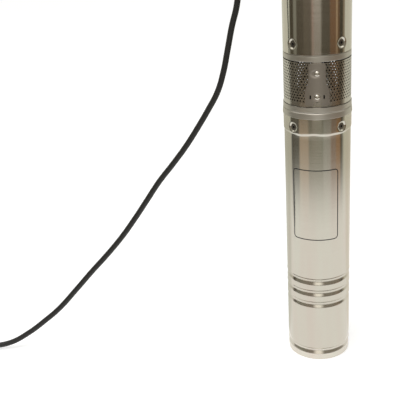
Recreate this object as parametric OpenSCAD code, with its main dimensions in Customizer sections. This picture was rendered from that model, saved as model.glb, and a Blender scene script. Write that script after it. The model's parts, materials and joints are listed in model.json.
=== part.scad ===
// Borehole submersible pump, standing on its base with the outlet upwards.
// A canned motor carries a perforated intake and a helical rotor pump end.

/* [Tubes] */
// Outside diameter of the motor tube and of the pump tube
tube_d = 76; // [72:0.5:100]
// Wall of both tubes
tube_wall = 1.2; // [0.8:0.1:1.6]
// Height of the joggle in the motor tube above the base
joggle_z = 292.5; // [285:0.5:340]
// Height of the joggle's slope
joggle_h = 3.5; // [2:0.5:6]
// How far the bell above the joggle stands out
bell_step = 0.7; // [0.3:0.1:1.2]
// Straight height of the bell
bell_h = 17.4; // [16:0.2:30]
// Length of the pump tube
pump_tube_h = 165.1; // [160:0.1:260]
// Chamfer at the foot of the motor tube
foot_chamfer = 0.8; // [0.4:0.1:1]

/* [Rolled grooves] */
// Width of a groove rolled into the motor tube
groove_w = 7.2; // [5:0.2:9]
// Depth of a rolled groove
groove_depth = 1.4; // [0.8:0.1:1.8]
// Height of the groove that holds the bottom cover
cover_groove_z = 11.6; // [9:0.2:14]
// Height of the lowest groove round the lower bearing housing
housing_groove_z = 77; // [70:0.5:90]
// Spacing of the grooves round the lower bearing housing
groove_pitch = 15.5; // [11:0.5:17]
// Number of grooves round the lower bearing housing
groove_count = 3; // [2:1:3]

/* [Tube screws] */
// Thread diameter of the countersunk tube screws
screw_d = 5; // [4:0.5:6]
// Length of a tube screw under its head
screw_len = 9; // [7:0.5:12]
// Diameter of the pressed dimple round a tube screw
dimple_d = 11.5; // [10:0.1:13]
// Depth of the pressed dimple
dimple_depth = 2.4; // [1.8:0.1:3]
// How deep the screw's face lies in the dimple
screw_sink = 0.9; // [0.4:0.1:1.2]
// Socket across flats
socket_af = 3; // [2:0.5:3.5]
// Depth of the socket
socket_depth = 1.6; // [1:0.1:2]
// Distance of the bell screws below the bell's end
bell_screw_drop = 12.1; // [9:0.1:14]
// Distance of the tube screws from the pump tube's ends
tube_screw_inset = 11.3; // [9:0.1:14]

/* [Intake] */
// How far the collar on top of the motor stands proud of the tubes
collar_step = 1.4; // [1.3:0.1:4]
// Height of the collar
collar_h = 7.1; // [6:0.1:12]
// How far the intake's lower band stands proud of the tubes
band_step = 0.7; // [0:0.1:3]
// Height of the lower band
lower_band_h = 6.1; // [5:0.1:12]
// Height of the strainer
strainer_h = 51; // [45:1:90]
// Sheet of the strainer
strainer_wall = 0.8; // [0.6:0.1:1]
// Diameter of a strainer hole
hole_d = 4; // [3:0.1:4.6]
// Spacing of the strainer holes
hole_pitch = 7.4; // [7:0.1:12]
// Plain margin at the strainer's foot
strainer_foot = 6; // [4:0.5:10]
// Plain margin at the strainer's top
strainer_brow = 3; // [2:0.5:8]
// Height of the intake's upper band
upper_band_h = 7.3; // [5:0.1:12]
// Height of the spigot that enters the pump tube
intake_spigot_h = 19; // [16:0.5:24]
// Width of a pillar between the two bands
pillar_w = 10; // [8:0.5:14]
// Radial depth of a pillar
pillar_depth = 8; // [6:0.5:9]
// Bore through the intake's rings
intake_bore_d = 40; // [36:0.5:42]

/* [Strainer clasp] */
// Sheet of the clasp
clasp_wall = 1; // [0.8:0.1:1.4]
// Width of the clasp's neck
clasp_neck_w = 18; // [14:0.5:20]
// Width of the clasp's body
clasp_body_w = 26; // [22:0.5:34]
// Height of the clasp's foot above the strainer's foot
clasp_foot = 2.4; // [1:0.1:5]
// Height of the clasp's body
clasp_body_h = 14; // [12:0.5:18]
// Height of the flare from body to neck
clasp_flare_h = 15; // [10:0.5:18]
// Whole height of the clasp
clasp_h = 47; // [42:0.5:48]
// Width of the arch in the clasp's foot
clasp_arch_w = 9; // [6:0.5:12]
// Height of the arch in the clasp's foot
clasp_arch_h = 5.5; // [4:0.5:7]
// Height of the lower clasp screw above the clasp's foot
clasp_screw_low = 10.3; // [9:0.1:14]
// Height of the upper clasp screw above the clasp's foot
clasp_screw_high = 36.5; // [32:0.1:38]
// Head diameter of a clasp screw
clasp_head_d = 6.4; // [5:0.1:8]
// Head height of a clasp screw
clasp_head_h = 1.8; // [1.2:0.1:3]
// Thread diameter of a clasp screw
clasp_thread_d = 4; // [3:0.5:4]
// Distance between the two slots beside the lower screw
clasp_slot_span = 15; // [12:0.5:18]
// Width of a slot
clasp_slot_w = 1.6; // [1:0.1:2]
// Height of a slot
clasp_slot_h = 4.4; // [3:0.1:6]

/* [Motor] */
// Outside diameter of the ball bearings
bearing_d = 35; // [30:1:35]
// Bore of the ball bearings
bearing_bore = 15; // [12:1:15]
// Width of the ball bearings
bearing_w = 11; // [9:0.5:12]
// Ball diameter
ball_d = 5.6; // [4:0.1:5.6]
// Number of balls in a bearing
ball_count = 8; // [6:1:8]
// Height of the stator core's foot above the base
core_z = 142; // [140:1:150]
// Length of the stator core and of the rotor
core_h = 100; // [60:1:105]
// Diameter of the rotor over its magnets
rotor_d = 37; // [32:0.5:40]
// Radial thickness of a magnet
magnet_t = 3.5; // [2:0.1:4]
// Number of magnets
magnet_count = 4; // [4:2:8]
// Air gap between rotor and stator core
air_gap = 0.5; // [0.4:0.1:1]
// Number of winding slots
slot_count = 12; // [6:3:12]
// Width of a winding slot
slot_w = 5; // [3:0.5:5]
// Depth of a winding slot
slot_depth = 9; // [6:0.5:10]
// Overhang of the windings at each end of the core
winding_overhang = 18; // [10:1:20]
// Height of the bottom cover
cover_h = 20; // [18:0.5:26]
// Rim of the bottom cover and of the diaphragm
cover_rim = 6; // [5:0.5:8]
// Floor of the bottom cover
cover_floor = 4; // [3:0.5:6]
// Vent hole through the bottom cover
vent_d = 6; // [4:0.5:10]
// Rubber thickness of the diaphragm
diaphragm_t = 2; // [1.5:0.1:2.5]
// Rise of the diaphragm's crown
diaphragm_rise = 22; // [14:1:26]
// Depth of the upper bearing housing's hub below the collar's top
hub_drop = 36; // [32:0.5:40]
// Diameter of the hub round the upper bearing
hub_d = 46; // [42:0.5:50]
// Height of the bracket's spigot inside the bell
bracket_spigot_h = 16; // [15.5:0.5:17]
// Diameter of the shaft above the upper bearing
stub_d = 12; // [10:0.5:13]
// Outside diameter of the shaft seal's seat
seal_d = 26; // [24:0.5:28]
// Height of the seal's seat
seal_seat_h = 5; // [4:0.5:6]
// Height of the seal's turning ring
seal_ring_h = 5; // [3:0.5:6]
// Height of the seal's bellows
bellows_h = 10; // [8:0.5:12]

/* [Pump end] */
// Radius of the helical rotor's round section
screw_r = 7.5; // [6:0.1:7.5]
// Eccentricity of the helical rotor
eccentricity = 3; // [2:0.1:3]
// Lead of the helical rotor
screw_lead = 36; // [32:1:50]
// Room between the rubber stator and the head
rubber_headroom = 12.1; // [10:0.1:34]
// Gap between rotor and rubber
screw_gap = 0.5; // [0.4:0.05:0.8]
// Outside diameter of the stator's sleeve
sleeve_d = 44; // [42:0.5:46]
// Wall of the stator's sleeve
sleeve_wall = 2; // [1.5:0.1:2.5]
// Depth of the sleeve's seats
sleeve_seat = 3; // [2:0.5:4]
// Height of the stator's flange
flange_h = 6; // [5:0.5:8]
// Diameter of the coupling
coupling_d = 22; // [20:0.5:26]
// Height of the coupling
coupling_h = 21; // [20:0.5:24]
// Diameter of the flexible shaft
flex_d = 8; // [6:0.5:9]
// Height of the flexible shaft's bent stretch
flex_h = 34; // [30:1:36]
// Length of the flexible shaft's ends in their sockets
flex_stub = 10; // [8:0.5:11]
// Diameter of the helical rotor's head
screw_head_d = 16; // [14:0.5:17]
// Height of the helical rotor's head
screw_head_h = 15; // [13:0.5:16]

/* [Head] */
// Height of the head's spigot in the pump tube
head_spigot_h = 26; // [24:0.5:30]
// Height of the head's flange
head_flange_h = 8; // [6:0.5:12]
// Height of the outlet boss above the flange
boss_h = 27; // [24:0.5:36]
// Outlet boss across flats
boss_af = 40; // [38:0.5:42]
// Wall diameter of the outlet's threaded bore
outlet_d = 30.3; // [26:0.1:32]
// Depth of the outlet's threaded bore
outlet_depth = 18; // [14:0.5:20]
// Diameter of the valve chamber
chamber_d = 35; // [33:0.5:36]
// Height of the valve seat
valve_seat_h = 5; // [4:0.5:7]
// Bore of the valve seat
valve_bore_d = 22; // [18:0.5:24]
// Diameter of the valve poppet
poppet_d = 27; // [26:0.5:28]
// Height of the poppet's plate
poppet_h = 4; // [3:0.5:5]
// Diameter of the poppet's stem
stem_d = 5; // [4:0.5:6]
// Travel of the poppet
valve_travel = 6; // [4:0.5:7]
// Height of the valve guide
guide_h = 4; // [3:0.5:5]
// Wire of the valve spring
spring_wire = 1.2; // [0.8:0.1:1.4]
// Mean diameter of the valve spring
spring_d = 12; // [11:0.5:14]
// Turns of the valve spring
spring_turns = 4; // [3:1:5]
// Width of a lifting lug
lug_w = 18; // [14:0.5:22]
// Thickness of a lifting lug
lug_t = 4; // [3:0.5:5]
// Height of a lifting lug's hole above the flange
lug_hole_z = 13; // [11:0.5:16]
// Diameter of a lifting lug's hole
lug_hole_d = 9; // [6:0.5:10]

/* [Cable] */
// Diameter of the cable
cable_d = 7; // [5:0.5:8]
// Distance of the cable from the middle of the room between stator sleeve and tube
lead_offset = 0; // [-0.5:0.1:0.5]
// Gland across flats
gland_af = 13; // [12:0.5:13]
// Height of the gland's base
gland_base_h = 6; // [4:0.5:8]
// Height of the gland's nut
gland_nut_h = 12; // [8:0.5:16]
// Height of the tapered strain relief
relief_h = 24; // [20:1:40]
// Middle radius of the stored coil
coil_r = 37; // [33:1:45]
// Strap of the coil's tie
tie_t = 0.8; // [0.5:0.1:1.2]
// Width of the coil's tie
tie_w = 6; // [4:0.5:10]
// Length of sheath past the coil
cable_tail = 26; // [20:1:40]
// Length of the bare cores
core_len = 28; // [20:1:60]
// Diameter of a bare core
core_d = 2; // [1.5:0.1:2.4]

/* [Hidden] */
$fn = 64;

// Clearances
fit_gap = 0.05;
running_gap = 0.06;
moving_gap = 0.3;
over = 1;

// Radii
tube_r = tube_d / 2;
tube_ir = tube_r - tube_wall;
bell_r = tube_r + bell_step;
bell_ir = bell_r - tube_wall;
collar_r = tube_r + collar_step;
band_r = tube_r + band_step;
strainer_ir = tube_r - strainer_wall;
inner_r = tube_ir - fit_gap;
groove_r = (pow(groove_w, 2) / 4 + pow(groove_depth, 2)) / (2 * groove_depth);
dimple_slope = (dimple_d - screw_d) / 2 / dimple_depth;
dimple_lip = 1.4;
pocket_r = seal_d / 2;
sleeve_r = sleeve_d / 2;
rubber_r = sleeve_r - sleeve_wall - fit_gap;
cable_r = cable_d / 2;
lead_r = (sleeve_r + tube_ir) / 2 + lead_offset;
oring_d = 2.4;

// Heights, from the base upwards
joggle_top = joggle_z + joggle_h;
bell_top = joggle_top + bell_h;
collar_top = bell_top + collar_h;
strainer_z = collar_top + lower_band_h;
upper_band_z = strainer_z + strainer_h;
pump_z = upper_band_z + upper_band_h;
pump_top = pump_z + pump_tube_h;
flange_top = pump_top + head_flange_h;
boss_top = flange_top + boss_h;
bell_screw_z = bell_top - bell_screw_drop;
low_screw_z = pump_z + tube_screw_inset;
high_screw_z = pump_top - tube_screw_inset;
housing_grooves = [for (i = [0 : groove_count - 1]) housing_groove_z + i * groove_pitch];
housing_margin = 10;
housing_foot = housing_groove_z - housing_margin;
housing_top = housing_grooves[groove_count - 1] + housing_margin;
low_bearing_z = housing_top - bearing_w;
high_bearing_z = collar_top - hub_drop;
core_top = core_z + core_h;
seal_z = collar_top + running_gap;
bellows_z = seal_z + seal_ring_h;
coupling_z = bellows_z + bellows_h;
coupling_top = coupling_z + coupling_h;
flex_bottom = coupling_top + moving_gap;
flex_top = flex_bottom + flex_h;
shaft_top = coupling_top - flex_stub - over;
screw_z = flex_top + moving_gap;
helix_z = screw_z + screw_head_h;
flange_z = pump_z + intake_spigot_h;
sleeve_z = flange_z + flange_h - sleeve_seat;
head_z = pump_top - head_spigot_h;
sleeve_top = head_z + sleeve_seat;
rubber_z = sleeve_z + sleeve_seat;
rubber_h = head_z - rubber_headroom - rubber_z;
helix_h = rubber_z + rubber_h + over - helix_z;
seat_top = sleeve_top + valve_seat_h;
guide_z = boss_top - outlet_depth - guide_h;
spring_z = seat_top + poppet_h;
gland_top = flange_top + gland_base_h;
nut_top = gland_top + gland_nut_h;
relief_top = nut_top + relief_h;
clasp_z = strainer_z + clasp_foot;

screw_angles = [45, 135, 225, 315];
pillar_angles = [30, 150, 270];
bracket_screw_angles = [90, 210, 330];
bracket_screw_r = 25.5;
bracket_screw_d = 4;
bracket_screw_len = 6;
bracket_head_d = 7;

// Route of the free cable from its strain relief to the coil
route_points = [
  [-29.4, 0, 600], [-29.4, 0, 610], [-33, 0, 623], [-44, 0, 633], [-58, 0, 637], [-72, 0, 633],
  [-83, 0, 622], [-87, 0, 608], [-88, 0, 590], [-87, 0, 565], [-85, 0, 540], [-84, 0, 515],
  [-83, 0, 490], [-84, 0, 462], [-87, 0, 436], [-94, 0, 411], [-100, 0, 385], [-106, 0, 360],
  [-114, 0, 337], [-126, 0, 316], [-140, 0, 294], [-155, 0, 272], [-173, 0, 249], [-192, 0, 226],
  [-209, 0, 202], [-226, 0, 178], [-245, -1, 153], [-266, -3, 129], [-290, -6, 104], [-313, -9, 79],
  [-338, -13, 53], [-358, -17, 37], [-381, -22, 21], [-405, -27, 9], [-430, -31.3, 5], [-455, -33.8, 4.3],
  [-480, -34.5, 4.3]];
lay_z = tie_t + cable_r;
route_shift = -lead_r - route_points[0][0];
route_scale = (relief_top - lay_z) / (route_points[0][2] - lay_z);
cable_route = [for (p = route_points) [p[0] + route_shift, p[1], lay_z + (p[2] - lay_z) * route_scale]];
route_end = cable_route[len(cable_route) - 1];
coil_centre = [route_end[0] - 22, route_end[1] + coil_r + cable_r];

// Sweep of a round section along a list of points, with rings square to the path
function unit(v) = v / norm(v);
function tangent(p, i) = unit(p[min(i + 1, len(p) - 1)] - p[max(i - 1, 0)]);
function ring_points(c, t, side, r, n) =
  let (u = unit(cross(side, t)), w = cross(t, u))
  [for (k = [0 : n - 1]) c + r * (cos(360 * k / n) * u + sin(360 * k / n) * w)];
function sweep_points(p, side, r, n) =
  [for (i = [0 : len(p) - 1]) each ring_points(p[i], tangent(p, i), side, r, n)];
function sweep_faces(m, n) = concat(
  [[for (k = [0 : n - 1]) n - 1 - k]],
  [for (i = [0 : m - 2], k = [0 : n - 1])
    let (a = i * n + k, b = i * n + (k + 1) % n) each [[a, b, b + n], [a, b + n, a + n]]],
  [[for (k = [0 : n - 1]) (m - 1) * n + k]]);
module swept(p, side, r, n) {
  polyhedron(sweep_points(p, side, r, n), sweep_faces(len(p), n), convexity = 6);
}

module ring(r_out, r_in, h) {
  difference() {
    cylinder(r = r_out, h = h);
    translate([0, 0, -over]) cylinder(r = r_in, h = h + 2 * over);
  }
}

// Places children on a radius, with their +Z pointing at the axis
module round_wall(angles, r, z) {
  for (a = angles)
    rotate([0, 0, a]) translate([r, 0, z]) rotate([0, -90, 0]) children();
}

// Cone of a tube screw's dimple, widened by extra, between two depths
module dimple_cone(from, to, extra) {
  translate([0, 0, from])
    cylinder(r1 = dimple_d / 2 - dimple_slope * from + extra,
      r2 = dimple_d / 2 - dimple_slope * to + extra, h = to - from);
}

// Presses screw dimples into a tube wall of outside radius r
module dimpled(z, r) {
  difference() {
    union() {
      children();
      intersection() {
        round_wall(screw_angles, r, z) dimple_cone(0, dimple_depth, dimple_lip);
        translate([0, 0, z - dimple_d]) cylinder(r = r - fit_gap, h = 2 * dimple_d);
      }
    }
    round_wall(screw_angles, r, z) dimple_cone(-over, dimple_depth, fit_gap);
    round_wall(screw_angles, r, z) cylinder(d = screw_d + 2 * fit_gap, h = dimple_depth + over);
  }
}

// Room for the dimples and threads in the piece behind a tube wall
module screw_seats(z, r) {
  round_wall(screw_angles, r, z) dimple_cone(0, dimple_depth + fit_gap, dimple_lip + fit_gap);
  round_wall(screw_angles, r, z) cylinder(d = screw_d + 2 * fit_gap, h = screw_len + 2 * over);
}

module screws_round(z, r) {
  round_wall(screw_angles, r, z)
    difference() {
      union() {
        dimple_cone(screw_sink, dimple_depth, 0);
        translate([0, 0, dimple_depth - fit_gap]) cylinder(d = screw_d, h = screw_len - dimple_depth);
      }
      translate([0, 0, screw_sink - over])
        cylinder(d = socket_af / cos(30), h = socket_depth + over, $fn = 6);
    }
}

module groove_discs(heights, extra) {
  for (z = heights)
    translate([tube_r + groove_r - groove_depth, z]) circle(r = groove_r + extra);
}

module oring_groove(r, z) {
  translate([0, 0, z - oring_d / 2 - fit_gap])
    difference() {
      cylinder(r = r + over, h = oring_d + 2 * fit_gap);
      translate([0, 0, -over]) cylinder(r = r - oring_d, h = oring_d + 2 * fit_gap + 2 * over);
    }
}

module lead_hole(z, h) {
  translate([-lead_r, 0, z]) cylinder(r = cable_r + fit_gap, h = h);
}

// Motor

module motor_tube() {
  heights = concat([cover_groove_z], housing_grooves);
  color("silver")
  dimpled(bell_screw_z, bell_r)
  rotate_extrude()
  difference() {
    union() {
      polygon([[tube_ir, 0], [tube_r - foot_chamfer, 0], [tube_r, foot_chamfer], [tube_r, joggle_z],
        [bell_r, joggle_top], [bell_r, bell_top], [bell_ir, bell_top], [bell_ir, joggle_top],
        [tube_ir, joggle_z]]);
      intersection() {
        groove_discs(heights, tube_wall);
        translate([tube_ir - 2 * groove_depth, 0]) square([2 * groove_depth + tube_wall, joggle_z]);
      }
    }
    groove_discs(heights, 0);
  }
}

module bottom_cover() {
  color("dimgray")
  difference() {
    rotate_extrude()
    difference() {
      polygon([[0, 0], [inner_r, 0], [inner_r, cover_h], [inner_r - cover_rim, cover_h],
        [inner_r - cover_rim, cover_floor], [0, cover_floor]]);
      groove_discs([cover_groove_z], tube_wall + fit_gap);
    }
    translate([0, 0, -over]) cylinder(d = vent_d, h = cover_floor + 2 * over);
  }
}

module diaphragm() {
  rim = inner_r - cover_rim;
  crown = cover_h + diaphragm_t + diaphragm_rise;
  color("black")
  rotate_extrude()
  polygon([[inner_r, cover_h], [inner_r, cover_h + diaphragm_t], [rim, cover_h + diaphragm_t],
    [rim / 2, crown - diaphragm_t], [0, crown], [0, crown - diaphragm_t],
    [rim / 2 - diaphragm_t, crown - 2 * diaphragm_t], [rim - diaphragm_t, cover_h]]);
}

module diaphragm_ring() {
  color("gray")
  translate([0, 0, cover_h + diaphragm_t]) ring(inner_r, inner_r - cover_rim + fit_gap, cover_rim);
}

module lower_bearing_housing() {
  seat_r = bearing_d / 2 + fit_gap;
  color("darkgray")
  rotate_extrude()
  difference() {
    polygon([[0, housing_foot], [inner_r, housing_foot], [inner_r, housing_top],
      [inner_r - cover_rim, housing_top], [inner_r - cover_rim, housing_foot + housing_margin],
      [hub_d / 2, housing_foot + housing_margin], [hub_d / 2, housing_top], [seat_r, housing_top],
      [seat_r, low_bearing_z], [bearing_bore, low_bearing_z], [bearing_bore, housing_foot + cover_rim],
      [0, housing_foot + cover_rim]]);
    groove_discs(housing_grooves, tube_wall + fit_gap);
  }
}

module both_bearings() {
  for (z = [low_bearing_z, high_bearing_z])
    translate([0, 0, z]) children();
}

// Race of a bearing between two radii, with the ball groove cut into it
module race(r_in, r_out) {
  rotate_extrude()
  difference() {
    translate([r_in, 0]) square([r_out - r_in, bearing_w]);
    translate([(bearing_d + bearing_bore) / 4, bearing_w / 2]) circle(r = ball_d / 2 + moving_gap);
  }
}

module bearing_outer_rings() {
  color("lightsteelblue")
  both_bearings() race((bearing_d + bearing_bore) / 4 + ball_d * 0.36, bearing_d / 2);
}

module bearing_inner_rings() {
  color("lightsteelblue")
  both_bearings() race(bearing_bore / 2, (bearing_d + bearing_bore) / 4 - ball_d * 0.36);
}

module bearing_balls() {
  pitch_r = (bearing_d + bearing_bore) / 4;
  cage_t = 0.8;
  cage_h = 3;
  color("goldenrod")
  both_bearings()
  union() {
    translate([0, 0, (bearing_w - cage_h) / 2]) ring(pitch_r + cage_t / 2, pitch_r - cage_t / 2, cage_h);
    for (i = [0 : ball_count - 1])
      rotate([0, 0, i * 360 / ball_count]) translate([pitch_r, 0, bearing_w / 2]) sphere(d = ball_d);
  }
}

module slot_bars(w, r_from, r_to) {
  for (i = [0 : slot_count - 1])
    rotate(i * 360 / slot_count) translate([r_from, -w / 2]) square([r_to - r_from, w]);
}

slot_r = rotor_d / 2 + air_gap + 2;

module stator_core() {
  color("slategray")
  translate([0, 0, core_z])
  linear_extrude(core_h)
  difference() {
    circle(r = inner_r);
    circle(r = rotor_d / 2 + air_gap);
    slot_bars(slot_w, slot_r, slot_r + slot_depth);
  }
}

module stator_windings() {
  bar_r = slot_r + moving_gap;
  bar_end = slot_r + slot_depth - 2 * fit_gap;
  end_z = core_h + over;
  color("peru")
  translate([0, 0, core_z])
  union() {
    translate([0, 0, -over - winding_overhang])
      ring(bar_end, bar_r, winding_overhang);
    translate([0, 0, end_z]) ring(bar_end, bar_r, winding_overhang);
    intersection() {
      translate([0, 0, -2 * over]) linear_extrude(core_h + 4 * over)
        slot_bars(slot_w - 4 * fit_gap, bar_r - over, bar_end + over);
      translate([0, 0, -2 * over]) ring(bar_end, bar_r, core_h + 4 * over);
    }
  }
}

module motor_shaft() {
  color("lightgray")
  difference() {
    union() {
      translate([0, 0, low_bearing_z])
        cylinder(d = bearing_bore - 2 * fit_gap, h = high_bearing_z + bearing_w - low_bearing_z);
      translate([0, 0, high_bearing_z]) cylinder(d = stub_d, h = shaft_top - high_bearing_z);
    }
    pin_place() cylinder(d = pin_d + 2 * fit_gap, h = coupling_d, center = true);
  }
}

module rotor_core() {
  color("gray")
  translate([0, 0, core_z]) ring(rotor_d / 2 - magnet_t - fit_gap, bearing_bore / 2, core_h);
}

module rotor_magnets() {
  seam = 1.5;
  color("darkslategray")
  translate([0, 0, core_z])
  linear_extrude(core_h)
  difference() {
    circle(r = rotor_d / 2);
    circle(r = rotor_d / 2 - magnet_t);
    for (i = [0 : magnet_count - 1])
      rotate(i * 360 / magnet_count) translate([0, -seam / 2]) square([rotor_d, seam]);
  }
}

module motor_top_bracket() {
  spigot_r = bell_ir - fit_gap;
  spigot_z = bell_top - bracket_spigot_h;
  seat_r = bearing_d / 2 + fit_gap;
  bearing_top = high_bearing_z + bearing_w;
  edge = 1.5;
  color("silver")
  difference() {
    rotate_extrude()
    union() {
      polygon([[stub_d / 2 + over, bearing_top], [seat_r, bearing_top], [seat_r, high_bearing_z],
        [hub_d / 2, high_bearing_z], [hub_d / 2, spigot_z], [spigot_r, spigot_z], [spigot_r, bell_top],
        [bell_r + fit_gap, bell_top], [collar_r, bell_top + edge], [collar_r, collar_top - edge],
        [collar_r - edge, collar_top], [pocket_r + fit_gap, collar_top],
        [pocket_r + fit_gap, collar_top - seal_seat_h], [stub_d / 2 + over, collar_top - seal_seat_h]]);
      translate([collar_r - edge, collar_top - edge]) circle(r = edge);
    }
    screw_seats(bell_screw_z, bell_r);
    oring_groove(spigot_r, bell_top - oring_d);
    lead_hole(spigot_z - over, bracket_spigot_h + collar_h + 2 * over);
    at_bracket_screws(collar_top - bracket_screw_len)
      cylinder(d = bracket_screw_d + 2 * fit_gap, h = bracket_screw_len + over);
  }
}

module o_rings() {
  color("black")
  for (place = [[bell_ir - fit_gap, bell_top - oring_d], [inner_r, head_z + oring_d]])
    rotate_extrude() translate([place[0] - oring_d / 2, place[1]]) circle(d = oring_d - 2 * fit_gap);
}

module seal_seat() {
  color("ivory")
  translate([0, 0, collar_top - seal_seat_h]) ring(pocket_r, stub_d / 2 + over, seal_seat_h);
}

module seal_ring() {
  color("darkslategray")
  translate([0, 0, seal_z]) ring(pocket_r - 2, stub_d / 2 + fit_gap, seal_ring_h);
}

module seal_bellows() {
  folds = 3;
  fold_h = bellows_h / folds;
  r_in = stub_d / 2 + fit_gap;
  color("black")
  translate([0, 0, bellows_z])
  rotate_extrude()
  union() {
    translate([r_in, 0]) square([2, bellows_h]);
    for (i = [0 : folds - 1])
      translate([r_in + 2, (i + 0.5) * fold_h]) circle(d = fold_h);
  }
}

// Intake

module at_bracket_screws(z) {
  for (a = bracket_screw_angles)
    rotate([0, 0, a]) translate([bracket_screw_r, 0, z]) children();
}

module intake_housing() {
  pillar_h = strainer_h + 2 * over;
  color("silver")
  difference() {
    union() {
      translate([0, 0, collar_top]) ring(band_r, pocket_r + over, lower_band_h);
      translate([0, 0, upper_band_z]) ring(tube_r, intake_bore_d / 2, upper_band_h);
      translate([0, 0, pump_z]) ring(inner_r, intake_bore_d / 2, intake_spigot_h);
      intersection() {
        translate([0, 0, strainer_z - over]) cylinder(r = strainer_ir - fit_gap, h = pillar_h);
        for (a = pillar_angles)
          rotate([0, 0, a]) translate([strainer_ir - pillar_depth, -pillar_w / 2, strainer_z - over])
            cube([pillar_depth, pillar_w, pillar_h]);
      }
    }
    screw_seats(low_screw_z, tube_r);
    lead_hole(collar_top - over, lower_band_h + 2 * over);
    lead_hole(upper_band_z - over, upper_band_h + intake_spigot_h + 2 * over);
    at_bracket_screws(collar_top - over)
      cylinder(d = bracket_screw_d + 2 * fit_gap, h = lower_band_h + 2 * over);
    at_clasp_screws() cylinder(d = clasp_thread_d + 2 * fit_gap, h = pillar_depth);
  }
}

module bracket_screws() {
  color("gray")
  at_bracket_screws(collar_top - bracket_screw_len + over)
  union() {
    cylinder(d = bracket_screw_d, h = bracket_screw_len + lower_band_h - over + fit_gap);
    translate([0, 0, bracket_screw_len + lower_band_h - over])
      cylinder(d = bracket_head_d, h = bracket_screw_d);
  }
}

module strainer() {
  holes = floor(2 * PI * tube_r / hole_pitch);
  row_h = hole_pitch * sin(60);
  rows = floor((strainer_h - strainer_foot - strainer_brow - hole_d) / row_h) + 1;
  color("silver")
  difference() {
    translate([0, 0, strainer_z]) ring(tube_r, strainer_ir, strainer_h);
    for (j = [0 : rows - 1])
      round_wall([for (i = [0 : holes - 1]) (i + j % 2 / 2) * 360 / holes],
        tube_r + over, strainer_z + strainer_foot + hole_d / 2 + j * row_h)
        cylinder(d = hole_d, h = strainer_wall + 2 * over, $fn = 16);
    at_clasp_screws() cylinder(d = clasp_thread_d + 2 * fit_gap, h = strainer_wall + 2 * over);
  }
}

module at_clasp_screws() {
  for (h = [clasp_screw_low, clasp_screw_high])
    round_wall([-90], tube_r, clasp_z + h) translate([0, 0, -over]) children();
}

module clasp_outline() {
  body = clasp_body_w / 2;
  neck = clasp_neck_w / 2;
  flare_top = clasp_body_h + clasp_flare_h;
  corner = 2;
  difference() {
    polygon([[-body + corner, 0], [body - corner, 0], [body, corner], [body, clasp_body_h],
      [neck, flare_top], [neck, clasp_h], [-neck, clasp_h], [-neck, flare_top],
      [-body, clasp_body_h], [-body, corner]]);
    translate([-clasp_arch_w / 2, -over]) square([clasp_arch_w, over + clasp_arch_h - clasp_arch_w / 2]);
    translate([0, clasp_arch_h - clasp_arch_w / 2]) circle(d = clasp_arch_w);
    for (side = [-1, 1])
      translate([side * clasp_slot_span / 2 - clasp_slot_w / 2, clasp_screw_low - clasp_slot_h / 2])
        square([clasp_slot_w, clasp_slot_h]);
  }
}

module strainer_clasp() {
  r_in = tube_r + fit_gap;
  color("gainsboro")
  difference() {
    intersection() {
      translate([0, 0, clasp_z - over]) ring(r_in + clasp_wall, r_in, clasp_h + 2 * over);
      translate([0, 0, clasp_z]) rotate([90, 0, 0]) linear_extrude(tube_d) clasp_outline();
    }
    at_clasp_screws()
      translate([0, 0, -clasp_wall - over]) cylinder(d = clasp_thread_d + 2 * fit_gap, h = 2 * clasp_wall + 2 * over);
  }
}

module clasp_screws() {
  seat = clasp_wall + 2 * fit_gap;
  crown = 0.5;
  color("lightgray")
  for (h = [clasp_screw_low, clasp_screw_high])
    round_wall([-90], tube_r, clasp_z + h)
      union() {
        translate([0, 0, -seat - clasp_head_h])
          cylinder(d1 = clasp_head_d - 2 * crown, d2 = clasp_head_d, h = crown);
        translate([0, 0, crown - seat - clasp_head_h]) cylinder(d = clasp_head_d, h = clasp_head_h - crown);
        translate([0, 0, -seat - fit_gap]) cylinder(d = clasp_thread_d, h = pillar_depth - over);
      }
}

module motor_screws() {
  color("lightgray") screws_round(bell_screw_z, bell_r);
}

module tube_screws() {
  color("lightgray") screws_round(low_screw_z, tube_r);
}

module head_screws() {
  color("lightgray") screws_round(high_screw_z, tube_r);
}

// Drive line

pin_d = 4;

module pin_place() {
  translate([0, 0, coupling_z + (shaft_top - coupling_z) / 2]) rotate([0, 90, 0]) children();
}

module shaft_coupling() {
  color("gray")
  difference() {
    translate([0, 0, coupling_z]) cylinder(d = coupling_d, h = coupling_h);
    translate([0, 0, coupling_z - over])
      cylinder(d = stub_d + 2 * fit_gap, h = shaft_top - coupling_z + over + fit_gap);
    translate([0, 0, shaft_top]) cylinder(d = flex_d + 2 * running_gap, h = flex_stub + 2 * over);
    pin_place() cylinder(d = pin_d + 2 * fit_gap, h = coupling_d + over, center = true);
  }
}

module coupling_pin() {
  color("dimgray") pin_place() cylinder(d = pin_d, h = coupling_d - over, center = true);
}

// Half of the flexible shaft's S bend
module flex_arc(bend_r, bend) {
  rotate_extrude(angle = bend) translate([bend_r, 0]) circle(d = flex_d);
}

module flex_shaft() {
  bend = 2 * atan(eccentricity / flex_h);
  bend_r = flex_h / 2 / sin(bend);
  color("lightgray")
  union() {
    translate([0, 0, flex_bottom - flex_stub]) cylinder(d = flex_d, h = flex_stub);
    translate([bend_r, 0, flex_bottom]) rotate([90, 0, 180]) flex_arc(bend_r, bend);
    translate([eccentricity - bend_r, 0, flex_top]) rotate([-90, 0, 0]) flex_arc(bend_r, bend);
    translate([eccentricity / 2, 0, (flex_bottom + flex_top) / 2]) rotate([0, bend, 0])
      cylinder(d = flex_d + 2 * fit_gap, h = over, center = true);
    translate([eccentricity, 0, flex_top]) cylinder(d = flex_d, h = flex_stub);
  }
}

helix_fn = 24;
slice_h = 3;

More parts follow.
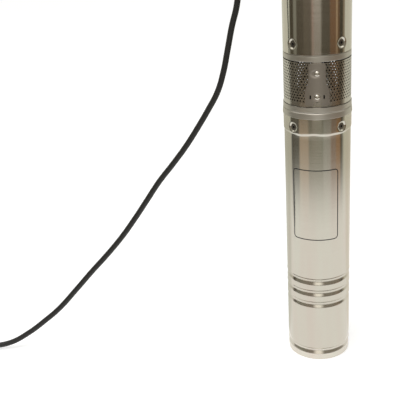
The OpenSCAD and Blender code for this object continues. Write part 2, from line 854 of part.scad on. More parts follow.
module screw_rotor() {
  color("lightsteelblue")
  translate([eccentricity, 0, 0])
  union() {
    difference() {
      translate([0, 0, screw_z]) cylinder(d = screw_head_d, h = screw_head_h);
      translate([0, 0, screw_z - over])
        cylinder(d = flex_d + 2 * running_gap, h = flex_stub + over + moving_gap);
    }
    translate([0, 0, helix_z - fit_gap])
      linear_extrude(helix_h, twist = -360 * helix_h / screw_lead, slices = round(helix_h / slice_h))
        translate([eccentricity, 0]) circle(r = screw_r, $fn = helix_fn);
  }
}

module stator_slot() {
  r = screw_r + screw_gap;
  half = 2 * eccentricity;
  union() {
    for (x = [-half, half])
      translate([x, 0]) circle(r = r, $fn = helix_fn);
    translate([-half, -r]) square([2 * half, 2 * r]);
  }
}

module stator_rubber() {
  slot_h = rubber_h + 2 * over;
  slot_z = rubber_z - over;
  color("black")
  difference() {
    translate([0, 0, rubber_z]) cylinder(r = rubber_r, h = rubber_h);
    translate([0, 0, slot_z]) rotate([0, 0, 180 * (slot_z - helix_z) / screw_lead])
      linear_extrude(slot_h, twist = -180 * slot_h / screw_lead, slices = round(slot_h / slice_h))
        stator_slot();
  }
}

module stator_sleeve() {
  color("silver")
  translate([0, 0, sleeve_z]) ring(sleeve_r, sleeve_r - sleeve_wall, sleeve_top - sleeve_z);
}

module stator_flange() {
  color("gray")
  difference() {
    translate([0, 0, flange_z]) ring(inner_r, rubber_r - sleeve_wall, flange_h);
    translate([0, 0, sleeve_z]) cylinder(r = sleeve_r + fit_gap, h = flange_h);
    lead_hole(flange_z - over, flange_h + 2 * over);
  }
}

// Pump tube and head

module pump_tube() {
  color("silver")
  dimpled(high_screw_z, tube_r)
  dimpled(low_screw_z, tube_r)
  translate([0, 0, pump_z]) ring(tube_r, tube_ir, pump_tube_h);
}

module discharge_head() {
  boss_r = boss_af / 2;
  edge = 1.5;
  color("silver")
  difference() {
    union() {
      translate([0, 0, head_z]) cylinder(r = inner_r, h = head_spigot_h);
      rotate_extrude()
        polygon([[0, pump_top], [tube_r, pump_top], [tube_r, flange_top - edge], [tube_r - edge, flange_top],
          [0, flange_top]]);
      translate([0, 0, flange_top - over]) cylinder(r = boss_r, h = boss_h / 2 + over);
      translate([0, 0, flange_top + boss_h / 2]) rotate([0, 0, 30])
        cylinder(r = boss_r / cos(30), h = boss_h / 2, $fn = 6);
    }
    translate([0, 0, head_z - over]) cylinder(r = sleeve_r + fit_gap, h = sleeve_seat + over);
    translate([0, 0, sleeve_top - over]) cylinder(d = chamber_d, h = guide_z + guide_h - sleeve_top + over);
    translate([0, 0, guide_z]) cylinder(d = outlet_d, h = boss_top - guide_z + over);
    screw_seats(high_screw_z, tube_r);
    oring_groove(inner_r, head_z + oring_d);
    lead_hole(head_z - over, head_spigot_h + head_flange_h + 2 * over);
  }
}

module valve_seat() {
  color("gray")
  translate([0, 0, sleeve_top]) ring(chamber_d / 2 - fit_gap, valve_bore_d / 2, valve_seat_h);
}

module valve_poppet() {
  stem_h = guide_z + guide_h / 2 - spring_z;
  edge = 1;
  color("dimgray")
  union() {
    translate([0, 0, seat_top])
      cylinder(d = poppet_d, h = poppet_h - edge);
    translate([0, 0, spring_z - edge]) cylinder(d1 = poppet_d, d2 = poppet_d - 2 * edge, h = edge);
    translate([0, 0, spring_z - edge]) cylinder(d = stem_d, h = stem_h + edge);
  }
}

module valve_spring() {
  steps = 14;
  free_h = guide_z - spring_z - spring_wire - 2 * fit_gap;
  turn_points = [for (i = [0 : spring_turns * steps])
    let (a = 360 * i / steps, h = free_h * i / (spring_turns * steps))
    [spring_d / 2 * cos(a), spring_d / 2 * sin(a), spring_z + spring_wire / 2 + fit_gap + h]];
  color("lightgray") swept(turn_points, [0, 0, 1], spring_wire / 2, 8);
}

module valve_guide() {
  arms = 3;
  arm_w = 4;
  hub_wall = 3;
  r_out = chamber_d / 2 - fit_gap;
  color("gray")
  translate([0, 0, guide_z])
  difference() {
    union() {
      ring(r_out, r_out - hub_wall, guide_h);
      cylinder(d = spring_d + 2 * spring_wire, h = guide_h);
      for (i = [0 : arms - 1])
        rotate([0, 0, i * 360 / arms]) translate([0, -arm_w / 2, 0]) cube([r_out - over, arm_w, guide_h]);
    }
    translate([0, 0, -over]) cylinder(d = stem_d + 2 * running_gap, h = guide_h + 2 * over);
  }
}

module lifting_lugs() {
  color("silver")
  for (side = [-1, 1])
    translate([0, side * lead_r + lug_t / 2, flange_top]) rotate([90, 0, 0])
      linear_extrude(lug_t)
      difference() {
        union() {
          translate([-lug_w / 2, 0]) square([lug_w, lug_hole_z]);
          translate([0, lug_hole_z]) circle(d = lug_w);
        }
        translate([0, lug_hole_z]) circle(d = lug_hole_d);
      }
}

// Cable

module lead_bush() {
  color("black")
  translate([-lead_r, 0, strainer_z]) ring(cable_r + 2, cable_r + fit_gap, lower_band_h);
}

module inner_lead() {
  foot = bell_top - bracket_spigot_h - cable_d;
  color("black") translate([-lead_r, 0, foot]) cylinder(d = cable_d, h = relief_top - foot);
}

module cable_gland() {
  color("dimgray")
  difference() {
    translate([-lead_r, 0, flange_top]) rotate([0, 0, 30])
      cylinder(d = gland_af / cos(30), h = gland_base_h, $fn = 6);
    lead_hole(flange_top - over, gland_base_h + 2 * over);
  }
}

module gland_nut() {
  shoulder = gland_nut_h / 3;
  color("dimgray")
  difference() {
    translate([-lead_r, 0, gland_top])
      union() {
        cylinder(d = gland_af, h = gland_nut_h - shoulder);
        translate([0, 0, gland_nut_h - shoulder]) cylinder(d1 = gland_af, d2 = cable_d + 3, h = shoulder);
      }
    lead_hole(gland_top - over, gland_nut_h + 2 * over);
  }
}

module strain_relief() {
  color("black")
  difference() {
    translate([-lead_r, 0, nut_top]) cylinder(d1 = cable_d + 3, d2 = cable_d + 1, h = relief_h);
    lead_hole(nut_top - over, relief_h + 2 * over);
  }
}

module cable() {
  color("black") swept(cable_route, [0, 1, 0], cable_r, 10);
}

module cable_coil() {
  color("black")
  translate([coil_centre[0], coil_centre[1], tie_t])
  rotate_extrude()
  union() {
    translate([coil_r - cable_d, cable_r]) square([2 * cable_d, cable_d]);
    translate([coil_r - cable_r, 0]) square([cable_d, 2 * cable_d]);
    for (x = [-cable_r, cable_r], y = [cable_r, 3 * cable_r])
      translate([coil_r + x, y]) circle(d = cable_d);
  }
}

module coil_tie() {
  side = 2 * cable_d;
  tie_gap = 0.3;
  color("dimgray")
  translate([coil_centre[0] + coil_r, coil_centre[1] + tie_w / 2, tie_t])
  rotate([90, 0, 0])
  linear_extrude(tie_w)
  difference() {
    translate([-side / 2 - tie_gap - tie_t, -tie_t]) square([side + 2 * (tie_gap + tie_t), side + 2 * tie_t]);
    translate([-side / 2 - tie_gap, -fit_gap]) square([side + 2 * tie_gap, side + 2 * fit_gap]);
  }
}

module cable_end() {
  stretch = [coil_centre[0] - coil_r - cable_r, coil_centre[1] + cable_tail / 2, lay_z];
  color("black")
  translate(stretch)
  rotate([-90, 0, 0])
  union() {
    cylinder(d = cable_d, h = cable_tail);
    for (i = [0 : 2])
      rotate([0, 0, 90 + i * 120]) translate([core_d * 0.65, 0, cable_tail - over])
        cylinder(d = core_d, h = core_len + over);
  }
}

motor_tube();
bottom_cover();
diaphragm();
diaphragm_ring();
lower_bearing_housing();
bearing_outer_rings();
bearing_inner_rings();
bearing_balls();
stator_core();
stator_windings();
motor_shaft();
rotor_core();
rotor_magnets();
motor_top_bracket();
o_rings();
seal_seat();
seal_ring();
seal_bellows();
intake_housing();
bracket_screws();
strainer();
strainer_clasp();
clasp_screws();
motor_screws();
tube_screws();
head_screws();
shaft_coupling();
coupling_pin();
flex_shaft();
screw_rotor();
stator_rubber();
stator_sleeve();
stator_flange();
pump_tube();
discharge_head();
valve_seat();
valve_poppet();
valve_spring();
valve_guide();
lifting_lugs();
lead_bush();
inner_lead();
cable_gland();
gland_nut();
strain_relief();
cable();
cable_coil();
coil_tie();
cable_end();
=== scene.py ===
import json
import math

import bpy
from mathutils import Matrix, Vector

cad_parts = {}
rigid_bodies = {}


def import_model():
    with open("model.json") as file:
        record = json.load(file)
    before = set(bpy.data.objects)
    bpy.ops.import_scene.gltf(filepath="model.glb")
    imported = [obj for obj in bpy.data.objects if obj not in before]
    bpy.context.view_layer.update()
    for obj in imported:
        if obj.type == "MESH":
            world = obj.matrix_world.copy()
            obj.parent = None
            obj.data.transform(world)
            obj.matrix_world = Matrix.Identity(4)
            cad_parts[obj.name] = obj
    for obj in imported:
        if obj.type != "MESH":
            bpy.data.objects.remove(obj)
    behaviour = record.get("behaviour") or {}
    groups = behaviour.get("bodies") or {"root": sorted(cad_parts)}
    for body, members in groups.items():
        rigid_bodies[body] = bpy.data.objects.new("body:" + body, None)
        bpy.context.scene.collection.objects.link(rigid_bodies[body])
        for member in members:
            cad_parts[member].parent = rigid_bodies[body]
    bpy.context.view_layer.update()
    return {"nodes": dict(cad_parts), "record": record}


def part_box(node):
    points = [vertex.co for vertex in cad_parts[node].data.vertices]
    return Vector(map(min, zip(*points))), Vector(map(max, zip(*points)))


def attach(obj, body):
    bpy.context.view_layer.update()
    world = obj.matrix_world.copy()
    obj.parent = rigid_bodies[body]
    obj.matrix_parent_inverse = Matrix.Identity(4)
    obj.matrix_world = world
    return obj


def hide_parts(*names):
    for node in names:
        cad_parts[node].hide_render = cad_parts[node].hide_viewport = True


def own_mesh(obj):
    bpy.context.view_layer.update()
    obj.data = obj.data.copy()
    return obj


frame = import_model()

mm = 0.001
mergeReach = 1e-6  # metres
bpy.ops.object.select_all(action="DESELECT")


def clearSelection():
    if bpy.context.object and bpy.context.object.mode != "OBJECT":
        bpy.ops.object.mode_set(mode="OBJECT")
    bpy.ops.object.select_all(action="DESELECT")


def onlyThis(piece):
    clearSelection()
    piece.select_set(True)
    bpy.context.view_layer.objects.active = piece


def selectAll():
    bpy.ops.mesh.select_all(action="SELECT")


def blankPiece(name):
    # an empty mesh at the origin, left in edit mode
    clearSelection()
    bpy.ops.mesh.primitive_plane_add(size=mm, location=(0, 0, 0))
    piece = bpy.context.object
    piece.name = piece.data.name = name
    bpy.ops.object.mode_set(mode="EDIT")
    bpy.ops.mesh.select_mode(type="VERT")
    selectAll()
    bpy.ops.mesh.delete(type="VERT")
    return piece


def pick(piece, test):
    # selects the vertices whose place passes the test
    bpy.ops.mesh.select_all(action="DESELECT")
    bpy.ops.object.mode_set(mode="OBJECT")
    for vertex in piece.data.vertices:
        vertex.select = bool(test(vertex.co))
    bpy.ops.object.mode_set(mode="EDIT")


def extrudeBy(move):
    bpy.ops.mesh.extrude_region_move(TRANSFORM_OT_translate={"value": move})


def softMove(move, reach, connected=False):
    # moves what is picked, and draws its surroundings along
    bpy.ops.transform.translate(value=move, use_proportional_edit=True, use_proportional_connected=connected,
                                proportional_edit_falloff="SMOOTH", proportional_size=reach * mm)


def faceOutward():
    selectAll()
    bpy.ops.mesh.normals_make_consistent(inside=False)


def cutAt(place, normal):
    selectAll()
    bpy.ops.mesh.bisect(plane_co=place, plane_no=normal)


def addBlock(place, size):
    # place and size in millimetres
    centre = [v * mm for v in place]
    bpy.ops.mesh.primitive_cube_add(size=mm, location=centre)
    bpy.ops.transform.resize(value=size, center_override=centre)


def addRod(sides, r, long, place=(0, 0, 0), turn=(0, 0, 0)):
    # a round or six-sided rod, in millimetres
    bpy.ops.mesh.primitive_cylinder_add(vertices=sides, radius=r * mm, depth=long * mm,
                                        location=[v * mm for v in place], rotation=turn)


def addFrame(place, wide, high, spec):
    # a flat upright frame with rounded corners, in millimetres
    centre = [v * mm for v in place]
    bpy.ops.mesh.primitive_plane_add(size=mm, location=centre, rotation=(math.pi / 2, 0, 0))
    bpy.ops.transform.resize(value=(wide, 1, high), center_override=centre)
    bpy.ops.mesh.bevel(offset=spec["corner"] * mm, segments=spec["cornerParts"], affect="VERTICES")
    selectAll()
    bpy.ops.mesh.inset(thickness=spec["line"] * mm)
    bpy.ops.mesh.delete(type="FACE")


def hexRadius(flats):
    return flats / 2 / math.cos(math.pi / 6)


def drawLine(points):
    # one vertex, extruded from point to point (metres)
    bpy.ops.mesh.select_all(action="DESELECT")
    bpy.ops.mesh.primitive_plane_add(size=mm, location=points[0])
    bpy.ops.mesh.merge(type="CENTER")
    for here, there in zip(points, points[1:]):
        extrudeBy(Vector(there) - Vector(here))
    bpy.ops.mesh.select_linked()


def drawPlate(points):
    # one face inside a closed line (metres)
    drawLine(points + points[:1])
    bpy.ops.mesh.remove_doubles(threshold=mergeReach)
    bpy.ops.mesh.edge_face_add()


def turnProfile(profile, steps, axisX=0.0):
    # a profile of (radius, height) in millimetres, spun round an upright axis
    centre = Vector((axisX * mm, 0, 0))
    drawLine([centre + Vector((r * mm, 0, z * mm)) for r, z in profile])
    bpy.ops.mesh.spin(steps=steps, angle=2 * math.pi, center=centre, axis=(0, 0, 1))
    selectAll()
    bpy.ops.mesh.remove_doubles(threshold=mergeReach)
    faceOutward()


def applyModifier(piece, kind, **settings):
    onlyThis(piece)
    bpy.ops.object.modifier_add(type=kind)
    modifier = piece.modifiers[-1]
    for key, value in settings.items():
        setattr(modifier, key, value)
    bpy.ops.object.modifier_apply(modifier=modifier.name)


def combine(piece, tool, operation):
    # boolean of two pieces; the tool is used up
    applyModifier(piece, "BOOLEAN", operation=operation, object=tool, solver="EXACT")
    bpy.data.objects.remove(tool)


def softenEdges(piece, width, angle=40):
    applyModifier(piece, "BEVEL", width=width * mm, segments=2, limit_method="ANGLE",
                  angle_limit=math.radians(angle))


def wrapRound(piece, r):
    # bends a flat plate, drawn in x and z, round the front of a tube
    onlyThis(piece)
    angle = piece.dimensions.x / (r * mm)
    applyModifier(piece, "SIMPLE_DEFORM", deform_method="BEND", deform_axis="Z", angle=angle)
    piece.location.y = -r * mm
    bpy.ops.object.transform_apply(location=True)


def copyPiece(piece, place, turn):
    # a copy with its own mesh, turned (degrees) and moved, then settled at the origin
    onlyThis(piece)
    bpy.ops.object.duplicate(linked=False)
    copy = bpy.context.object
    copy.rotation_euler = [math.radians(v) for v in turn]
    copy.location = Vector(place) * mm
    bpy.ops.object.transform_apply(location=True, rotation=True)
    return copy


def joinPieces(pieces, name):
    onlyThis(pieces[0])
    for piece in pieces:
        piece.select_set(True)
    bpy.ops.object.join()
    joined = bpy.context.object
    joined.name = joined.data.name = name
    return joined


def finishPiece(piece, material, nodes, angle=32):
    onlyThis(piece)
    bpy.ops.object.shade_smooth_by_angle(angle=math.radians(angle))
    if material:
        piece.data.materials.clear()
        piece.data.materials.append(material)
    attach(piece, "housing")
    if nodes:
        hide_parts(*nodes)
    return piece


# camera, fitted to the tubes' outline and rings
cameraFit = {"place": (0, -0.8973, 0.58), "pitch": 0.3946, "yaw": -0.1579, "roll": -0.0669,
             "lens": 72.28, "sensor": 36, "clip": (0.01, 50)}


def makeCamera(fit):
    cp, sp = math.cos(fit["pitch"]), math.sin(fit["pitch"])
    cy, sy = math.cos(fit["yaw"]), math.sin(fit["yaw"])
    forward, right = Vector((sy * cp, cy * cp, -sp)), Vector((cy, -sy, 0))
    up = right.cross(forward)
    c, s = math.cos(fit["roll"]), math.sin(fit["roll"])
    right, up = right * c + up * s, up * c - right * s
    bpy.ops.object.camera_add()
    camera = bpy.context.object
    turn = Matrix((right, up, -forward)).transposed().to_4x4()
    camera.matrix_world = Matrix.Translation(fit["place"]) @ turn
    camera.data.lens, camera.data.sensor_width = fit["lens"], fit["sensor"]
    camera.data.clip_start, camera.data.clip_end = fit["clip"]
    bpy.context.scene.camera = camera


makeCamera(cameraFit)
bpy.context.scene.view_settings.view_transform = "Standard"
print("stage: camera")


def linear(text):
    # sRGB hex to linear colour
    values = [int(text[i:i + 2], 16) / 255 for i in (1, 3, 5)]
    values = [v / 12.92 if v <= 0.04045 else ((v + 0.055) / 1.055) ** 2.4 for v in values]
    return (*values, 1)


def addNode(material, kind, inputs, **settings):
    # one node; an input is a value, or a socket that is linked to it
    node = material.node_tree.nodes.new(kind)
    for key, value in settings.items():
        setattr(node, key, value)
    for key, value in inputs.items():
        if isinstance(value, bpy.types.NodeSocket):
            material.node_tree.links.new(value, node.inputs[key])
        else:
            node.inputs[key].default_value = value
    return node


def newMaterial(name, **values):
    material = bpy.data.materials.new(name)
    material.use_nodes = True
    shader = material.node_tree.nodes["Principled BSDF"]
    for key, value in values.items():
        shader.inputs[key.replace("_", " ")].default_value = value
    return material, shader


def feed(material, shader, **links):
    for key, socket in links.items():
        material.node_tree.links.new(socket, shader.inputs[key.replace("_", " ")])


# sizes in mm; lines: changes per metre along the turning; drawnOut: how little the clouds change up the tube
pattern = {"lines": 40, "cloud": 16, "drawnOut": 0.08, "lineDepth": 0.05, "mottleDepth": 0.1,
           "noiseSpan": (0.3, 0.7)}


def dressShader(material, shader, shades, cloud, fine, rough, bump, depth):
    # colour from the clouds, roughness and relief from the fine pattern
    colour = addNode(material, "ShaderNodeMix", {0: cloud, 6: linear(shades[0]), 7: linear(shades[1])},
                     data_type="RGBA")
    least, most = pattern["noiseSpan"]
    level = addNode(material, "ShaderNodeMapRange", {"Value": fine, "From Min": least, "From Max": most,
                                                     "To Min": rough[0], "To Max": rough[1]})
    relief = addNode(material, "ShaderNodeBump", {"Height": fine, "Strength": bump, "Distance": depth * mm})
    feed(material, shader, Base_Color=colour.outputs[2], Roughness=level.outputs[0], Normal=relief.outputs[0])


def turnedMetal(name, darker, lighter, rough, grain, bump, streak=0.0):
    # grain: spacing in mm of the lines round the axis, coarser than real ones so that they show
    # streak: how far the lines draw reflections out
    material, shader = newMaterial(name, Metallic=1.0, Anisotropic=streak, Anisotropic_Rotation=0.25)
    place = addNode(material, "ShaderNodeTexCoord", {}).outputs["Object"]
    lines = addNode(material, "ShaderNodeMapping",
                    {"Vector": place, "Scale": (pattern["lines"], pattern["lines"], 1 / (grain * mm))})
    fine = addNode(material, "ShaderNodeTexNoise", {"Vector": lines.outputs[0], "Scale": 1.0, "Detail": 2.0})
    along = addNode(material, "ShaderNodeMapping", {"Vector": place, "Scale": (1, 1, pattern["drawnOut"])})
    cloud = addNode(material, "ShaderNodeTexNoise",
                    {"Vector": along.outputs[0], "Scale": 1 / (pattern["cloud"] * mm), "Detail": 3.0})
    dressShader(material, shader, (darker, lighter), cloud.outputs[0], fine.outputs[0], rough, bump,
                pattern["lineDepth"])
    if streak:
        around = addNode(material, "ShaderNodeTangent", {}, direction_type="RADIAL", axis="Z")
        feed(material, shader, Tangent=around.outputs[0])
    return material


def mouldedMatter(name, darker, lighter, rough, grain, bump, metallic=0.0, ior=1.5):
    # grain: size in mm of the mottle left by mould, press or casting
    material, shader = newMaterial(name, Metallic=metallic, IOR=ior)
    place = addNode(material, "ShaderNodeTexCoord", {}).outputs["Object"]
    noise = {"Vector": place, "Scale": 1 / (grain * mm), "Detail": 4.0}
    mottle = addNode(material, "ShaderNodeTexNoise", noise).outputs[0]
    dressShader(material, shader, (darker, lighter), mottle, mottle, rough, bump, pattern["mottleDepth"])
    return material


# each row: darker and lighter colour, roughness from and to, grain, relief, then streak or metallic and IOR
# stainless tube, polished round and round: warm mirror, reflections drawn out along the tube
polishedTube = turnedMetal("stainless_tube_ring_polished", "#cfc1b7", "#cfd1c4", (0.11, 0.17), 0.5, 0.02,
                           0.75)
# stainless casting, turned and left satin: softer, greyer gloss
turnedCasting = turnedMetal("stainless_casting_turned", "#bfbab0", "#cbc7be", (0.36, 0.46), 0.4, 0.05)
# perforated stainless sheet, rolled: a mirror a little duller than the tube
rolledSheet = turnedMetal("stainless_sheet_perforated", "#c4bfb5", "#cfcac2", (0.16, 0.26), 0.6, 0.03)
# the same sheet inside and round its punched edges, painted dark as the shade in and behind the holes: dull
# and dark
paintedHoleShade = mouldedMatter("stainless_sheet_painted_hole_shade", "#3a3731", "#4a463f", (0.45, 0.6), 0.5, 0.1, 1.0)
# stamped stainless plate: satin, a tone darker than the sheet
stampedPlate = turnedMetal("stainless_plate_stamped", "#9c958c", "#a8a198", (0.34, 0.44), 0.7, 0.04)
# stainless screws, cold headed and tumbled: bright, slightly uneven
headedScrew = mouldedMatter("stainless_screw_tumbled", "#cfcac0", "#dcd8d0", (0.16, 0.26), 0.8, 0.05, 1.0)
# steel set screws, blackened then rubbed: grey with a dull shine
blackedScrew = mouldedMatter("steel_screw_blackened", "#77716a", "#8d877e", (0.24, 0.34), 0.7, 0.08, 1.0)
# socket of a set screw, black oxide left in it: no shine
oxideSocket = mouldedMatter("steel_socket_black_oxide", "#0c0b0a", "#151412", (0.55, 0.7), 0.5, 0.05)
# chloroprene sheath, extruded: matt black with a faint waxy light
extrudedSheath = mouldedMatter("chloroprene_sheath_extruded", "#151413", "#1e1d1b", (0.42, 0.55), 1.2, 0.12)
# polyvinyl chloride round each core, extruded: smooth and waxy
coreFinish = {"brown": mouldedMatter("pvc_core_brown", "#4f2c17", "#5c3520", (0.3, 0.4), 1.5, 0.03),
              "blue": mouldedMatter("pvc_core_blue", "#1c3f80", "#254c92", (0.3, 0.4), 1.5, 0.03),
              "earth": mouldedMatter("pvc_core_earth", "#3f6f2b", "#b7a52e", (0.3, 0.4), 4, 0.03)}
# copper strands, drawn and stripped: reddish, finely mottled
drawnCopper = mouldedMatter("copper_strand_drawn", "#b5704a", "#cf8d66", (0.2, 0.32), 0.3, 0.3, 1.0)
# ink, screen printed and baked: thin satin black
printedInk = mouldedMatter("enamel_ink_screen_printed", "#12110f", "#1e1c1a", (0.35, 0.5), 0.6, 0.05)

slotFinish = {
    "stainless_tube": polishedTube,
    "stainless_cast": turnedCasting,
    # ground steel: fine lines round the axis, cool grey
    "steel": turnedMetal("carbon_steel_ground", "#a9a9aa", "#bcbcbd", (0.25, 0.36), 0.3, 0.05, 0.4),
    # chrome steel, lapped: mirror
    "bearing_steel": mouldedMatter("chrome_steel_lapped", "#bfc3c8", "#cbd0d4", (0.08, 0.14), 3, 0.01, 1.0),
    # grey iron, turned: dark, open grain
    "bearing_iron": turnedMetal("grey_iron_turned", "#66676a", "#7b7c7e", (0.38, 0.5), 0.5, 0.15),
    # electrical steel sheets, stacked: half millimetre leaves
    "laminations": turnedMetal("electrical_steel_stacked", "#5b5d61", "#7b7d80", (0.35, 0.5), 0.5, 0.4),
    # enamelled copper wire, wound and varnished: warm and uneven
    "winding_copper": mouldedMatter("copper_wire_varnished", "#8a4a24", "#b4683a", (0.25, 0.4), 1, 0.5, 0.8),
    # ferrite, sintered and coated: dull grey black
    "magnet": mouldedMatter("ferrite_sintered", "#2b2b2e", "#3a3a3d", (0.45, 0.6), 0.6, 0.15),
    # alumina, lapped: ivory, glassy
    "ceramic": mouldedMatter("alumina_lapped", "#e4dfd2", "#efeae0", (0.12, 0.2), 0.8, 0.02, 0.0, 1.76),
    # carbon graphite, lapped: soft black sheen
    "carbon": mouldedMatter("carbon_graphite_lapped", "#1c1c1e", "#29292b", (0.3, 0.4), 0.5, 0.05),
    # nitrile rubber, moulded, or bonded in its sleeve: matt black
    "seal_rubber": mouldedMatter("nitrile_rubber_moulded", "#131313", "#1d1d1d", (0.5, 0.65), 0.9, 0.1),
    "stator_rubber": mouldedMatter("nitrile_rubber_bonded", "#171717", "#222222", (0.45, 0.6), 1.1, 0.1),
    # acetal, moulded: dark and slightly waxy
    "valve_plastic": mouldedMatter("acetal_moulded", "#1d1d20", "#27272a", (0.32, 0.42), 0.9, 0.06, 0, 1.48),
    # polyamide, moulded: fine eroded grain
    "gland_plastic": mouldedMatter("polyamide_moulded", "#161616", "#202020", (0.4, 0.52), 0.4, 0.15,
                                   0, 1.53),
    "cable_sheath": extrudedSheath,
    # polypropylene strap, embossed: black, lightly textured
    "tie_strap": mouldedMatter("polypropylene_strap", "#191919", "#252525", (0.4, 0.5), 0.6, 0.25),
}
for row in frame["record"]["subparts"]:
    mesh = frame["nodes"][row["node"]].data
    mesh.materials.clear()
    mesh.materials.append(slotFinish[row["material_slot"]])
print("stage: materials")

# cable: out of the strain relief, over and down to the floor, the spare length in a tied coil
cable = {"across": 7, "roundness": 4}
cableRoute = [(-29.4, 0, 600), (-29.4, 0, 610), (-33, 0, 623), (-44, 0, 633), (-58, 0, 637), (-72, 0, 633),
              (-83, 0, 622), (-87, 0, 608), (-88, 0, 590), (-87, 0, 565), (-85, 0, 540), (-84, 0, 515),
              (-83, 0, 490), (-84, 0, 462), (-87, 0, 436), (-94, 0, 411), (-100, 0, 385), (-106, 0, 360),
              (-114, 0, 337), (-126, 0, 316), (-140, 0, 294), (-155, 0, 272), (-173, 0, 249), (-192, 0, 226),
              (-209, 0, 202), (-226, 0, 178), (-245, -1, 153), (-266, -3, 129), (-290, -6, 104),
              (-313, -9, 79), (-338, -13, 53), (-358, -17, 37), (-381, -22, 21), (-405, -27, 9),
              (-430, -31.3, 5), (-455, -33.8, 4.3), (-480, -34.5, 4.3)]
# the coil's radii and heights, and the degrees of winding at which it changes from one to the other
coil = {"centre": (-502, 6), "outer": 40.5, "inner": 33.5, "low": 4.3, "high": 11.3, "wound": 1170,
        "every": 18, "inward": (292, 352), "climb": (632, 690), "outward": (940, 1000)}
cableTail = [(-542.5, 15, 11.25), (-542.5, 23, 10.6), (-542.5, 31, 8.2), (-542.5, 39, 5.4), (-542.5, 45, 4.4)]


def ease(value, low, high):
    t = min(max((value - low) / (high - low), 0), 1)
    return t * t * (3 - 2 * t)


def coilPoints(spec):
    # clockwise from the south: lower outer turn, lower inner turn, up, upper inner turn, upper outer quarter
    points = []
    for degrees in range(0, spec["wound"] + 1, spec["every"]):
        wide = 1 - ease(degrees, *spec["inward"]) + ease(degrees, *spec["outward"])
        r = spec["inner"] + (spec["outer"] - spec["inner"]) * wide
        z = spec["low"] + (spec["high"] - spec["low"]) * ease(degrees, *spec["climb"])
        a = math.radians(-90 - degrees)
        points.append((spec["centre"][0] + r * math.cos(a), spec["centre"][1] + r * math.sin(a), z))
    return points


def drawTube(name, points, across, roundness, material):
    # a round tube on a smooth curve through the points (millimetres)
    curve = bpy.data.curves.new(name, "CURVE")
    curve.dimensions, curve.use_fill_caps = "3D", True
    curve.bevel_depth, curve.bevel_resolution, curve.resolution_u = across / 2 * mm, roundness, 6
    curve.materials.append(material)
    spline = curve.splines.new("BEZIER")
    spline.bezier_points.add(len(points) - 1)
    for knot, point in zip(spline.bezier_points, points):
        knot.co = Vector(point) * mm
        knot.handle_left_type = knot.handle_right_type = "AUTO"
    piece = bpy.data.objects.new(name, curve)
    bpy.context.scene.collection.objects.link(piece)
    bpy.context.view_layer.update()
    return piece


def meshTube(name, points, across, material):
    onlyThis(drawTube(name, points, across, 3, material))
    bpy.ops.object.convert(target="MESH")
    return bpy.context.object


cableSheath = drawTube("cableSheath", cableRoute + coilPoints(coil) + cableTail, cable["across"],
                       cable["roundness"], extrudedSheath)
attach(cableSheath, "housing")
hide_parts("cable", "cable_coil")

# three cores out of the sheath's end, each stripped to its copper
core = {"across": 2, "copper": 1.1}
coreRoutes = {
    "brown": [(-543.6, 44, 5.0), (-544.2, 53, 4.5), (-546, 61, 3.1), (-547.2, 67, 2.2), (-547.9, 72.8, 1.9)],
    "blue": [(-541.4, 44, 5.0), (-540.8, 53, 4.7), (-539.4, 61, 3.2), (-538.4, 67, 2.2), (-537.8, 72.8, 1.9)],
    "earth": [(-542.5, 44, 3.1), (-542.4, 53, 2.5), (-542.6, 61, 1.9), (-542.5, 67, 1.6), (-542.5, 72.9, 1.4)]
}
corePieces = []
for name, points in coreRoutes.items():  # the last stretch is bare
    corePieces.append(meshTube(name + "Core", points[:-1], core["across"], coreFinish[name]))
    corePieces.append(meshTube(name + "Copper", points[-2:], core["copper"], drawnCopper))
cableCores = finishPiece(joinPieces(corePieces, "cableCores"), None, ["cable_end"], 40)

strap = {"centre": (-465, 6, 7.8), "wide": 16.2, "high": 15.6, "line": 0.8, "deep": 6, "corner": 4.2,
         "cornerParts": 5, "edge": 0.25, "catchLift": 0.7, "catchWide": 7, "catchProud": 1.4,
         "catchHigh": 2.6}


def makeStrap(spec):
    piece = blankPiece("coilStrap")
    addFrame((0, 0, 0), spec["wide"], spec["high"], spec)
    selectAll()
    bpy.ops.transform.translate(value=(0, -spec["deep"] / 2 * mm, 0))
    extrudeBy((0, spec["deep"] * mm, 0))
    bpy.ops.mesh.select_all(action="DESELECT")
    addBlock((0, 0, spec["high"] / 2 + spec["catchLift"]),
             (spec["catchWide"], spec["deep"] + spec["catchProud"], spec["catchHigh"]))
    faceOutward()
    softenEdges(piece, spec["edge"])
    piece.location = Vector(spec["centre"]) * mm
    bpy.ops.object.transform_apply(location=True)
    return finishPiece(piece, slotFinish["tie_strap"], ["coil_tie"], 20)


coilStrap = makeStrap(strap)

# motor tube and pump tube; a groove is its height and how much deeper it is than the shape below
tube = {"radius": 38, "wall": 1.2, "bell": 38.7, "steps": 200, "screwAngles": (45, 135, 225, 315),
        "grooves": ((11.6, 1.35), (77.4, 1), (93, 1), (108.6, 1))}
screwAt = {"motor": 301.3, "pump": 395, "head": 538.7}
bellStep = {"z": 294.5, "every": 24, "patch": 2, "reach": 7, "lift": 0.8, "wander": 2.4, "clear": 297.6}
dimple = {"flat": 2.4, "reach": 4.3, "depth": 2.4, "row": 0.6, "half": 7.2, "skin": 2}
# depth and height: long sloping foot, flat floor, steep upper wall under a small raised lip
grooveShape = [(0, -4.6), (0.03, -4.2), (0.09, -3.7), (0.17, -3.4), (0.35, -2.65), (0.46, -2.35),
               (1.13, -0.3), (1.23, 0), (1.27, 0.2), (1.41, 0.8), (1.45, 1.2), (1.45, 2.2), (1.38, 2.5),
               (1.02, 2.85), (0.28, 3.2), (-0.14, 3.4), (-0.25, 3.6), (-0.27, 3.8), (-0.23, 4.05),
               (-0.19, 4.25), (-0.06, 4.75), (-0.02, 4.95), (0, 5.2)]


